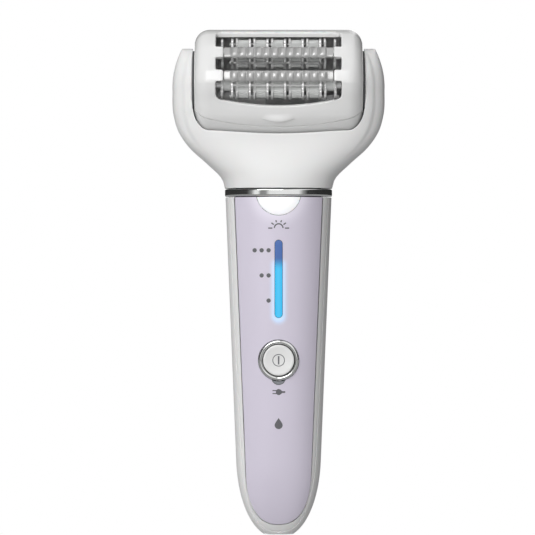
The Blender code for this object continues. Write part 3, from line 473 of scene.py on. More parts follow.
def turned(profile, origin, direction, segments=96):
    """Rings of a profile of (radius, distance along the direction) pairs, turned about a line."""
    direction = np.asarray(direction, dtype=float)
    side = np.cross(direction, [0.0, 0.0, 1.0] if abs(direction[2]) < 0.9 else [0.0, 1.0, 0.0])
    side /= np.linalg.norm(side)
    turns = np.linspace(0, 2 * np.pi, segments, endpoint=False)[:, None]
    circle = np.cos(turns) * side + np.sin(turns) * np.cross(direction, side)
    radius, along = np.asarray(profile, dtype=float).T
    return origin + circle[None] * radius[:, None, None] + direction * along[:, None, None]


def arc(centre, radius, start, end, count):
    """Points of a circular arc in a plane, between two angles in degrees."""
    turns = np.radians(np.linspace(start, end, count))
    return np.stack([centre[0] + radius * np.cos(turns), centre[1] + radius * np.sin(turns)], axis=1)


def ease(value):
    """A smooth step from 0 to 1."""
    t = np.clip(value, 0.0, 1.0)
    return t * t * (3 - 2 * t)


def superellipse(half_width, half_depth, power, turns):
    """x and y round a superellipse: half sizes times the signed cosine and sine to the power 2 / power."""
    c, s = np.cos(turns), np.sin(turns)
    x = half_width * np.sign(c) * np.abs(c) ** (2 / power)
    y = half_depth * np.sign(s) * np.abs(s) ** (2 / power)
    return x, y


# ---------------------------------------------------------------- finishes


def white_plastic(shader):
    """Satin ABS: faint moulding cloud, a fine spark-eroded texture and a thin clear gloss."""
    cloud = shader.noise(0.06, 3.0)
    grain = shader.noise(2.4, 2.0)
    white = tuple(colours().white)
    shader.set(
        Base_Color=shader.mix(cloud, shade(white, 0.985), white),
        Roughness=0.30 + 0.08 * cloud + 0.05 * grain,
        Coat_Weight=0.18,
        Coat_Roughness=0.16,
        IOR=1.48,
        Subsurface_Weight=0.03,
        Subsurface_Scale=1.0 * MM,
    )
    shader.bump(grain, 0.004)


def gloss_white(shader):
    """Polished white for the button and the head's cap."""
    cloud = shader.noise(0.08, 3.0)
    white = tuple(colours().white)
    shader.set(
        Base_Color=shader.mix(cloud, shade(white, 0.98), white),
        Roughness=0.20 + 0.06 * cloud,
        Coat_Weight=0.4,
        Coat_Roughness=0.08,
        IOR=1.5,
    )
    shader.bump(shader.noise(0.9, 2.0), 0.003)


def lavender_panel(shader):
    """Pearl lacquer with fine flakes, with painted light: an emitted cyan glow round the light bar and a
    pale glow round the window.
    """
    x, _, z = shader.axes()
    lavender = tuple(colours().lavender)
    flakes = shader.noise(14.0, 1.0)
    cloud = shader.noise(0.04, 2.0)
    bar_middle, bar_half = (BAR_LOW.z + BAR_HIGH.z) / 2 / MM, (BAR_HIGH.z - BAR_LOW.z) / 2 / MM
    # painted light: the panel emits a cyan glow near the light bar and a pale glow near the window
    beyond = (abs(z - (bar_middle - 4.0)) - (bar_half - 4.5)).maximum(0.0)
    from_bar = (x * x + beyond * beyond) ** 0.5
    painted_bar_light = from_bar.step(4.2, 1.0) ** 2.0
    window_radius, window_z = window_circle()
    from_window = (x * x + (z - window_z / MM) ** 2.0) ** 0.5 - window_radius / MM
    painted_window_light = from_window.step(6.5, 0.0) ** 2.0
    painted_bar_colour = shader.mix(painted_bar_light, (0.0, 0.0, 0.0), (0.02, 0.26, 0.42))
    shader.set(
        Base_Color=shader.mix(flakes * 0.6 + cloud * 0.4, shade(lavender, 0.95), shade(lavender, 1.05)),
        Metallic=0.04 + 0.10 * flakes,
        Roughness=0.30 + 0.10 * flakes,
        Coat_Weight=0.55,
        Coat_Roughness=0.10,
        Emission_Color=shader.mix(painted_window_light, painted_bar_colour, (0.12, 0.12, 0.12)),
        Emission_Strength=1.0,
    )
    shader.bump(flakes, 0.003)


def chrome(shader):
    """Plated plastic: mirror bright with a trace of orange peel and fine wipe marks."""
    peel = shader.noise(0.25, 2.0)
    wipes = shader.noise(1.0, 2.0, (0.4, 0.4, 8.0))
    shader.set(
        Base_Color=shader.mix(peel, (0.70, 0.71, 0.70), (0.80, 0.81, 0.80)),
        Metallic=1.0,
        Roughness=0.045 + 0.05 * wipes,
    )
    shader.bump(peel, 0.012)


def window_milk(shader):
    """Milky lens, brightest in its middle where the lamp sits behind it."""
    x, _, z = shader.axes()
    radius, centre = window_circle()
    out = (x * x + (z - centre / MM) ** 2.0) ** 0.5 / (radius / MM)
    cloud = shader.noise(0.3, 2.0)
    shader.set(
        Base_Color=shader.mix(cloud, (0.86, 0.86, 0.87), (0.92, 0.92, 0.92)),
        Roughness=0.16 + 0.06 * cloud,
        Coat_Weight=0.5,
        Coat_Roughness=0.05,
        Subsurface_Weight=0.2,
        Subsurface_Scale=2.0 * MM,
        Emission_Color=shader.mix(out.step(0.2, 1.0), (0.42, 0.42, 0.42), (0.16, 0.16, 0.17)),
        Emission_Strength=1.0,
    )


def light_guide(shader):
    """The light bar: lit cyan in its lower part, deep blue above, a little brighter along its middle."""
    x, _, z = shader.axes()
    blue, cyan = tuple(colours().blue), tuple(colours().cyan)
    lit = z.step(BAR_HIGH.z / MM - 5.6, BAR_HIGH.z / MM - 10.2)
    core = abs(x).step(1.3, 0.2)
    shine = shader.mix(core, cyan, (0.10, 0.62, 0.95))
    cloud = shader.noise(0.5, 2.0)
    shader.set(
        Base_Color=shader.mix(lit, blue, shade(cyan, 0.5)),
        Roughness=0.14 + 0.08 * cloud,
        Coat_Weight=0.6,
        Coat_Roughness=0.05,
        Emission_Color=shader.mix(lit, shade(blue, 0.35), shader.mix(0.25, shine, (0.0, 0.1, 0.2))),
        Emission_Strength=0.72,
    )


def smoked_lens(shader):
    """Grey translucent lens over the charge lamp."""
    cloud = shader.noise(0.8, 2.0)
    shader.set(
        Base_Color=shader.mix(cloud, (0.20, 0.21, 0.23), (0.30, 0.31, 0.33)),
        Roughness=0.18 + 0.08 * cloud,
        Coat_Weight=0.6,
        Coat_Roughness=0.06,
    )


def silver_plastic(shader):
    """Silver-filled plastic with flow marks along the bar."""
    silver = tuple(colours().silver)
    flow = shader.noise(0.8, 3.0, (0.25, 1.0, 1.0))
    flakes = shader.noise(9.0, 1.0)
    shader.set(
        Base_Color=shader.mix(flow, shade(silver, 0.90), shade(silver, 1.08)),
        Metallic=0.30 + 0.20 * flakes,
        Roughness=0.26 + 0.10 * flakes,
        Coat_Weight=0.3,
        Coat_Roughness=0.1,
    )
    shader.bump(flakes, 0.004)


def clear_plastic(shader):
    """Frosted clear ends of the guard bars."""
    cloud = shader.noise(0.9, 2.0)
    shader.set(
        Base_Color=shader.mix(cloud, (0.72, 0.73, 0.72), (0.85, 0.86, 0.85)),
        Roughness=0.12 + 0.1 * cloud,
        Coat_Weight=0.6,
        Coat_Roughness=0.05,
        Subsurface_Weight=0.15,
        Subsurface_Scale=1.0 * MM,
    )


def comb_plastic(shader):
    """Grey glass-filled plastic of the ribbed blocks."""
    fibres = shader.noise(5.0, 2.0, (1.0, 0.3, 1.0))
    shader.set(
        Base_Color=shader.mix(fibres, (0.58, 0.59, 0.58), (0.70, 0.71, 0.70)),
        Roughness=0.34 + 0.15 * fibres,
        Specular_IOR_Level=0.5,
    )
    shader.bump(fibres, 0.01)


def blade_steel(shader):
    """Ground stainless steel: grinding marks square to the plate's edge, duller in places."""
    marks = shader.noise(1.2, 3.0, (6.0, 1.0, 1.0))
    cloud = shader.noise(0.2, 2.0)
    shader.set(
        Base_Color=shader.mix(cloud, (0.86, 0.86, 0.86), (0.95, 0.95, 0.94)),
        Metallic=0.55,
        Roughness=0.24 + 0.14 * marks,
    )
    shader.bump(marks, 0.004)


def machine_steel(shader):
    """Turned or rolled steel of pins, screws and tabs."""
    marks = shader.noise(0.8, 3.0, (1.0, 4.0, 4.0))
    shader.set(
        Base_Color=shader.mix(marks, (0.45, 0.45, 0.46), (0.62, 0.62, 0.62)),
        Metallic=1.0,
        Roughness=0.22 + 0.16 * marks,
    )
    shader.bump(marks, 0.008)


def brass(shader):
    marks = shader.noise(0.8, 3.0, (6.0, 1.0, 1.0))
    shader.set(
        Base_Color=shader.mix(marks, (0.52, 0.36, 0.13), (0.75, 0.57, 0.27)),
        Metallic=1.0,
        Roughness=0.22 + 0.18 * marks,
    )
    shader.bump(marks, 0.006)


def gear_plastic(shader):
    """Natural acetal, slightly waxy."""
    cloud = shader.noise(0.4, 3.0)
    shader.set(
        Base_Color=shader.mix(cloud, (0.72, 0.70, 0.62), (0.86, 0.85, 0.79)),
        Roughness=0.36 + 0.14 * cloud,
        Subsurface_Weight=0.08,
        Subsurface_Scale=1.0 * MM,
    )
    shader.bump(shader.noise(3.0, 2.0), 0.006)


def black_plastic(shader):
    grain = shader.noise(3.0, 3.0)
    shader.set(
        Base_Color=shader.mix(grain, (0.012, 0.012, 0.013), (0.035, 0.035, 0.037)),
        Roughness=0.42 + 0.2 * grain,
    )
    shader.bump(grain, 0.02)


def grey_rubber(shader):
    grain = shader.noise(4.0, 3.0)
    shader.set(
        Base_Color=shader.mix(grain, (0.05, 0.05, 0.052), (0.10, 0.10, 0.105)),
        Roughness=0.70 + 0.2 * grain,
    )
    shader.bump(grain, 0.02)


def board_green(shader):
    """Solder mask over woven glass, with paler tracks."""
    x, _, z = shader.axes()
    weave = (x * 5.0).sin() * (z * 5.0).sin()
    tracks = shader.noise(0.7, 1.0, (1.0, 1.0, 0.2)).band(0.5, 0.03, 0.02)
    green = shader.mix(tracks, (0.012, 0.085, 0.030), (0.04, 0.20, 0.07))
    shader.set(Base_Color=green, Roughness=0.35 + 0.08 * weave, Coat_Weight=0.3)
    shader.bump(weave * 0.5 + tracks, 0.01)


def cell_wrap(shader):
    """Shrink sleeve of the cell: printed blue film, wrinkled towards its ends."""
    _, _, z = shader.axes()
    wrinkles = shader.noise(0.5, 3.0, (1.0, 1.0, 3.0))
    band = z.band(50.0, 14.0, 0.4)
    shader.set(
        Base_Color=shader.mix(band, (0.02, 0.09, 0.32), (0.05, 0.22, 0.60)),
        Roughness=0.28 + 0.15 * wrinkles,
        Coat_Weight=0.3,
    )
    shader.bump(wrinkles, 0.03)


def print_ink(shader):
    """Pad-printed grey ink, slightly uneven in cover."""
    ink = tuple(colours().ink)
    cover = shader.noise(2.5, 2.0)
    tone = shader.mix(cover, shade(ink, 0.9), shade(ink, 1.25))
    shader.set(Base_Color=tone, Roughness=0.45 + 0.1 * cover)


FINISHES = {
    "white_plastic": ("white_plastic", white_plastic),
    "gloss_white": ("white_plastic", gloss_white),
    "lavender_panel": ("lavender_panel", lavender_panel),
    "chrome": ("chrome", chrome),
    "window_milk": ("window", window_milk),
    "light_guide": ("light_guide", light_guide),
    "smoked_lens": ("grey_lens", smoked_lens),
    "silver_plastic": ("silver_plastic", silver_plastic),
    "clear_plastic": ("silver_plastic", clear_plastic),
    "comb_plastic": ("silver_plastic", comb_plastic),
    "blade_steel": ("steel", blade_steel),
    "machine_steel": ("steel", machine_steel),
    "brass": ("brass", brass),
    "gear_plastic": ("gear_plastic", gear_plastic),
    "black_plastic": ("black_plastic", black_plastic),
    "grey_rubber": ("grey_rubber", grey_rubber),
    "board_green": ("board_green", board_green),
    "cell_wrap": ("cell_wrap", cell_wrap),
    "print_ink": ("black_plastic", print_ink),
}


def material(name):
    """The finish's material, made the first time that it is wanted."""
    found = bpy.data.materials.get(name + "_finish")
    if found is None:
        shader = Shader(name + "_finish")
        FINISHES[name][1](shader)
        found = shader.material
    return found


# ---------------------------------------------------------------- handle forms


def foot_share(z):
    """The share of the full section left by the rounded foot: (1 - (1 - h) ** p) ** (1 / p), where h runs
    from the flat's own height at the very foot to 1 at the end of the rounding."""
    flat = 1 - (1 - FOOT_FLAT_SHARE**FOOT_POWER) ** (1 / FOOT_POWER)
    height = np.clip(flat + (1 - flat) * np.asarray(z) / FOOT_ROUNDING, 0, 1)
    return (1 - (1 - height) ** FOOT_POWER) ** (1 / FOOT_POWER)


def full_halves(z):
    """Half width and half depth of the handle without its rounded foot: straight lines between its ends."""
    rise = np.asarray(z) / (HANDLE_TOP + GAP / 2)
    return [foot + (top - foot) * rise for foot, top in zip(HANDLE_FOOT_HALF, HANDLE_TOP_HALF)]


def handle_halves(z, inset=0.0):
    """Half width and half depth of the handle at each height, less an inset."""
    share = foot_share(z)
    half_width, half_depth = full_halves(z)
    return half_width * share - inset, half_depth * share - inset


def handle_front(x, z, inset=0.0):
    """y on the handle's front: minus half depth times (1 - |x / half width| ** p) ** (1 / p)."""
    half_width, half_depth = handle_halves(z, inset)
    across = np.clip(np.abs(x) / half_width, 0, 1)
    return -half_depth * (1 - across**HANDLE_POWER) ** (1 / HANDLE_POWER)


def handle_reach(y, z, inset=0.0):
    """x where the handle's side has a depth y: half width times (1 - |y / half depth| ** p) ** (1 / p)."""
    half_width, half_depth = handle_halves(z, inset)
    deep = np.clip(np.abs(y) / half_depth, 0, 1)
    return half_width * (1 - deep**HANDLE_POWER) ** (1 / HANDLE_POWER)


def panel_half_width(z, growth=0.0):
    """Half width of the panel: the rim's inner line, rounded over the foot by the foot's own formula."""
    rise = np.clip((z - PANEL_FOOT + growth) / PANEL_ROUNDING, 0, 1)
    share = (1 - (1 - rise) ** PANEL_POWER) ** (1 / PANEL_POWER)
    full, _ = full_halves(np.maximum(z, PANEL_ROUNDING))
    return (full - sizes().panel_margin) * share + growth * np.minimum(1.0, 4 * rise)


def window_circle():
    """Radius of the window's arc, and the height of its centre."""
    half, sag = WINDOW_HIGH.x, WINDOW_HIGH.z - WINDOW_LOW.z
    radius = (half**2 + sag**2) / (2 * sag)
    return radius, WINDOW_LOW.z + radius


def foot_levels(start, top, turns=36, straight=26):
    """Heights close together round the foot and evenly spaced above it."""
    turn = np.linspace(0, np.pi / 2, turns)
    low = start + (FOOT_ROUNDING - start) * (1 - np.cos(turn))
    return np.append(low, np.linspace(FOOT_ROUNDING, top, straight)[1:])


def front_prism(outline, back_y=0.0):
    """A cutter: an outline of (x, z) pairs carried from in front of the handle back to a depth."""
    skin = Skin()
    skin.tube(np.stack([grid_of(outline[:, 0], y, outline[:, 1]) for y in (-FAR, back_y)]))
    return skin


def slot_outline(half_width, low, high):
    """An upright slot with round ends."""
    upper = arc((0, high - half_width), half_width, 0, 180, 25)
    lower = arc((0, low + half_width), half_width, 180, 360, 25)
    return np.vstack([upper, lower])


def window_outline(growth):
    """A circular segment with its flat side up; the sides run straight up past the arc's ends."""
    radius, centre = window_circle()
    reach = math.degrees(math.asin(WINDOW_HIGH.x / radius))
    if WINDOW_HIGH.z > centre:
        reach = 180 - reach
    bottom = arc((0, centre), radius + growth, 270 - reach, 270 + reach, 41)
    top = HANDLE_TOP + 1 * MM
    return np.vstack([bottom, [(bottom[-1, 0], top), (bottom[0, 0], top)]])


def circle_outline(radius, centre_z, count=96):
    return arc((0, centre_z), radius, 0, 360, count + 1)[:-1]


def parting(z, gap=0.0):
    """y of the line where the casing meets the rim, which runs back towards the foot."""
    side, foot = sizes().parting_y, sizes().parting_foot_y
    return foot + (side - foot) * ease(np.asarray(z) / PANEL_ROUNDING) - gap


def casing_grid(levels, inset, columns=97):
    """Round the back from the parting line on one side to the other: superellipse angles from
    minus a to pi + a, where the sine of a to the power 2 / p is the parting's share of the half depth."""
    half_width, half_depth = handle_halves(levels, inset)
    share = np.clip(-parting(levels) / half_depth, 0, 1)
    start = np.arcsin(share ** (HANDLE_POWER / 2))[:, None]
    turns = np.pi / 2 + np.linspace(-1, 1, columns)[None, :] * (np.pi / 2 + start)
    x, y = superellipse(half_width[:, None], half_depth[:, None], HANDLE_POWER, turns)
    return grid_of(x, y, levels[:, None]), int(np.argmax(share < 1))


def inlet_ring(z, columns):
    """The inlet's opening in the foot, as a nearly square superellipse."""
    turns = np.linspace(-np.pi / 2, 1.5 * np.pi, columns)
    x, y = superellipse(INLET_HIGH.x + GAP, INLET_HIGH.y + GAP, 9.0, turns)
    return grid_of(x, y, z)[None]


class EPILATOR_OT_rear_casing(bpy.types.Operator):
    """The rear half of the handle with its rounded foot, open at the inlet and at the top"""

    bl_idname = "epilator.rear_casing"
    bl_label = "Rear casing"

    def execute(self, context):
        wall = sizes().casing_wall
        outer_levels = foot_levels(0.0, HANDLE_TOP)
        outer, open_row = casing_grid(outer_levels, 0.0)
        inner, _ = casing_grid(wall + (HANDLE_TOP - wall) * outer_levels / HANDLE_TOP, wall)
        columns = outer.shape[1]
        outer = np.concatenate([inlet_ring(0.0, columns), outer])
        inner = np.concatenate([inlet_ring(wall, columns), inner])
        skin = Skin()
        skin.slab(outer, inner, "top bottom")
        skin.sheet(np.stack([outer[open_row:, 0], inner[open_row:, 0]]))
        skin.sheet(np.stack([inner[open_row:, -1], outer[open_row:, -1]]))
        piece("rear_casing", skin, "handle", "white_plastic", ["rear_shell"], sizes().edge_rounding)
        return {"FINISHED"}


def half_outline(reach, low, turn_z, directions):
    """(x, z) of one side of an outline: by direction about (0, turn_z) round the foot, then straight up.
    The outline's distance in each direction is read from a fine run of its own points."""
    z = low + (turn_z - low) * np.linspace(0, 1, 400) ** 2
    x = reach(z)
    x[0] = 0.0
    turn = np.arctan2(x, turn_z - z)
    distance = np.interp(directions, turn, np.hypot(x, turn_z - z))
    foot = np.stack([distance * np.sin(directions), turn_z - distance * np.cos(directions)], axis=-1)
    levels = np.linspace(turn_z, HANDLE_TOP, 50)[1:]
    return np.vstack([foot, np.stack([reach(levels), levels], axis=-1)])


class EPILATOR_OT_front_rim(bpy.types.Operator):
    """The white rim of the front shell, from the parting line to the panel's edge, with a ledge under it"""

    bl_idname = "epilator.front_rim"
    bl_label = "Front rim"

    def execute(self, context):
        turn_z = FOOT_ROUNDING + 3 * MM
        directions = np.linspace(0, np.pi / 2, 40)
        levels = np.linspace(0.0, FOOT_ROUNDING, 400)
        _, half_depth = handle_halves(levels)
        low = float(levels[np.argmax(half_depth > -parting(levels, GAP))])
        outline = half_outline(lambda z: handle_reach(parting(z, GAP), z), low, turn_z, directions)
        edge_foot = PANEL_FOOT - GAP / 2
        edge = half_outline(lambda z: panel_half_width(z, GAP / 2), edge_foot, turn_z, directions)
        ledge = half_outline(lambda z: panel_half_width(z, -LEDGE), PANEL_FOOT + LEDGE, turn_z, directions)
        rows = [outline + (edge - outline) * share for share in np.linspace(0, 1, 7)]
        half = np.stack(rows + [edge, ledge], axis=1)
        mirrored = half[:0:-1] * np.array([-1.0, 1.0])
        flat = np.concatenate([mirrored, half])
        x, z = flat[..., 0], flat[..., 1]
        thickness = sizes().panel_thickness
        depth = np.array([0.0] * 7 + [thickness + GAP / 2] * 2)
        outer = grid_of(x, handle_front(x, z, depth[None, :]), z)
        inner = grid_of(x, handle_front(x, z, thickness + 1.2 * MM), z)
        skin = Skin()
        skin.slab(outer, inner)
        piece("front_rim", skin, "handle", "white_plastic", ["front_shell"], 0.2 * MM)
        return {"FINISHED"}


def front_slab(half_width, levels, outer_inset, inner_inset, columns=81, dome=0.0):
    """A slab on the handle's front: x is a half width times u, from -1 to 1, and y is the front's own."""
    u = np.linspace(-1, 1, columns)[None, :]
    z = np.broadcast_to(levels[:, None], (len(levels), columns))
    x = u * half_width[:, None]
    rise = dome * (1 - u**2) * (half_width / half_width.max())[:, None] ** 2
    outer = grid_of(x, handle_front(x, z, outer_inset) - rise, z)
    inner = grid_of(x, handle_front(x, z, inner_inset), z)
    skin = Skin()
    skin.slab(outer, inner)
    return skin


def slot_half_width(levels, half_width, low, high):
    """Half width of an upright slot with round ends, at each height."""
    past = np.maximum(np.maximum(low + half_width - levels, levels - (high - half_width)), 0)
    return np.sqrt(np.maximum(half_width**2 - past**2, 0))


class EPILATOR_OT_front_panel(bpy.types.Operator):
    """The lavender panel, cut for the window, the light bar, the button's ring and the charge lamp"""

    bl_idname = "epilator.front_panel"
    bl_label = "Front panel"

    def execute(self, context):
        foot = PANEL_FOOT + GAP / 2
        turn = np.linspace(0, np.pi / 2, 30)
        bend = foot + PANEL_ROUNDING
        levels = np.append(bend - PANEL_ROUNDING * np.cos(turn), np.linspace(bend, HANDLE_TOP, 90)[1:])
        half_width = panel_half_width(levels, -GAP / 2)
        half_width[0] = 0.0
        skin = front_slab(half_width, levels, 0.0, sizes().panel_thickness)
        made = mesh_object("lavender_front_panel", skin)
        bar = slot_outline(BAR_HIGH.x + GAP / 2, BAR_LOW.z - GAP / 2, BAR_HIGH.z + GAP / 2)
        lamp_radius = LAMP_HIGH.x + GAP / 2
        cutters = [
            front_prism(window_outline(GAP / 2)),
            front_prism(bar),
            front_prism(circle_outline(RING_HIGH.x + GAP / 2, BUTTON_Z)),
            front_prism(circle_outline(lamp_radius, LAMP_LOW.z + LAMP_HIGH.x, 48)),
        ]
        cut_out(made, cutters)
        finish_piece(made, "handle", "lavender_panel", ["front_panel"])
        return {"FINISHED"}


class EPILATOR_OT_collar(bpy.types.Operator):
    """The chrome collar: a rounded band that follows the handle's top"""

    bl_idname = "epilator.collar"
    bl_label = "Chrome collar"

    def execute(self, context):
        proud, wall, round_off = 0.2 * MM, 3.0 * MM, 0.45 * MM
        high, low = COLLAR_HIGH, COLLAR_LOW
        upper = arc((proud - round_off, high - round_off), round_off, 90, 0, 9)
        lower = arc((proud - round_off, low + round_off), round_off, 0, -90, 9)
        levels = np.linspace(high - round_off, low + round_off, 7)[1:-1]
        belly = np.stack([np.full(5, proud), levels], axis=1)
        profile = np.vstack([upper, belly, lower, [(-wall, low), (-wall, high)]])
        half_width, half_depth = HANDLE_TOP_HALF[0] + profile[:, :1], HANDLE_TOP_HALF[1] + profile[:, :1]
        x, y = superellipse(half_width, half_depth, HANDLE_POWER, full_turn(180)[None, :])
        skin = Skin()
        skin.sheet(grid_of(x, y, profile[:, 1:]), wrap_rows=True, wrap_columns=True)
        piece("chrome_band", skin, "handle", "chrome", ["chrome_collar"])
        return {"FINISHED"}


class EPILATOR_OT_lights(bpy.types.Operator):
    """The half-moon window, the light bar and the charge lamp's crescent"""

    bl_idname = "epilator.lights"
    bl_label = "Window, light bar and charge lamp"

    def execute(self, context):
        radius, centre = window_circle()
        turn = np.linspace(0, np.pi / 2, 14)
        low, high = WINDOW_LOW.z, WINDOW_HIGH.z
        lower_half = low + (high - low) * (1 - np.cos(turn)) * 0.5
        levels = np.append(lower_half, np.linspace((low + high) / 2, high, 16)[1:])
        half_width = np.sqrt(np.maximum(radius**2 - (levels - centre) ** 2, 0))
        skin = front_slab(half_width, levels, 0.0, 3.4 * MM, 41, 0.12 * MM)
        piece("moon_window", skin, "handle", "window_milk", ["light_window"], 0.12 * MM, 2)

        low, high, half = BAR_LOW.z, BAR_HIGH.z, BAR_HIGH.x
        end = half * (1 - np.cos(np.linspace(0, np.pi / 2, 10)))
        straight = np.linspace(low + half, high - half, 40)[1:-1]
        levels = np.concatenate([low + end, straight, (high - end)[::-1]])
        skin = front_slab(slot_half_width(levels, half, low, high), levels, 0.0, 2.6 * MM, 17, 0.08 * MM)
        piece("speed_bar", skin, "handle", "light_guide", ["speed_light_bar"], 0.1 * MM, 2)

        ring_gap, lamp_radius = RING_HIGH.x + GAP, LAMP_HIGH.x
        lamp_z = LAMP_LOW.z + lamp_radius
        x = np.linspace(0, lamp_radius, 400)
        upper = BUTTON_Z - np.sqrt(ring_gap**2 - x**2)
        lower = lamp_z - np.sqrt(lamp_radius**2 - x**2)
        reach = x[upper > lower][-1]
        x = reach * np.sin(np.linspace(-np.pi / 2, np.pi / 2, 41))
        upper = BUTTON_Z - np.sqrt(ring_gap**2 - x**2)
        lower = np.minimum(lamp_z - np.sqrt(lamp_radius**2 - x**2), upper)
        z = lower + (upper - lower) * np.linspace(0, 1, 7)[:, None]
        outer = grid_of(x, handle_front(x, z) - 0.03 * MM, z)
        inner = grid_of(x, handle_front(x, z, 2.6 * MM), z)
        skin = Skin()
        skin.slab(outer, inner, "top bottom")
        piece("charge_crescent", skin, "handle", "smoked_lens", ["charge_lamp_lens"])
        return {"FINISHED"}


def cap_face(x, z):
    """y of the power button's face: flat at its rim, and sunk inside by one less the distance squared."""
    distance = np.hypot(x, z - BUTTON_Z) / BUTTON_HIGH.x
    return BUTTON_LOW.y + CAP_DISH * np.clip(1 - (distance / DISH_SHARE) ** 2, 0, 1)


class EPILATOR_OT_button(bpy.types.Operator):
    """The power button's dished cap on its stem, and the chrome ring round it"""

    bl_idname = "epilator.button"
    bl_label = "Power button and ring"

    def execute(self, context):
        radius, stem, depth = BUTTON_HIGH.x, 1.6 * MM, 2.4 * MM
        dish = np.linspace(0, radius - CAP_ROUNDING, 24)
        face = np.stack([dish, cap_face(dish, BUTTON_Z) - BUTTON_LOW.y], axis=1)
        edge = arc((radius - CAP_ROUNDING, CAP_ROUNDING), CAP_ROUNDING, -90, 0, 8)
        end = BUTTON_HIGH.y - BUTTON_LOW.y
        back = [(radius, depth), (radius - 0.2 * MM, depth + 0.01 * MM)]
        back += [(stem, depth), (stem, end), (0.0, end)]
        skin = Skin()
        profile = np.vstack([face, edge[1:], back])
        skin.sheet(turned(profile, np.array([0.0, BUTTON_LOW.y, BUTTON_Z]), [0, 1, 0]), wrap_columns=True)
        piece("power_cap", skin, "button", "gloss_white", ["power_button"])

        outer, bore = RING_HIGH.x, radius + 0.25 * MM
        half = (outer - bore) / 2
        crown = arc((0.0, 0.0), 1.0, 180, 360, 25) * [half, RING_CROWN] + [bore + half, RING_CROWN]
        deep = RING_HIGH.y - RING_LOW.y
        profile = np.vstack([crown, [(outer, deep), (bore, deep)]])
        skin = Skin()
        rings = turned(profile, np.array([0.0, RING_LOW.y, BUTTON_Z]), [0, 1, 0], 128)
        skin.sheet(rings, wrap_rows=True, wrap_columns=True)
        piece("chrome_ring", skin, "handle", "chrome", ["button_ring"])
        return {"FINISHED"}


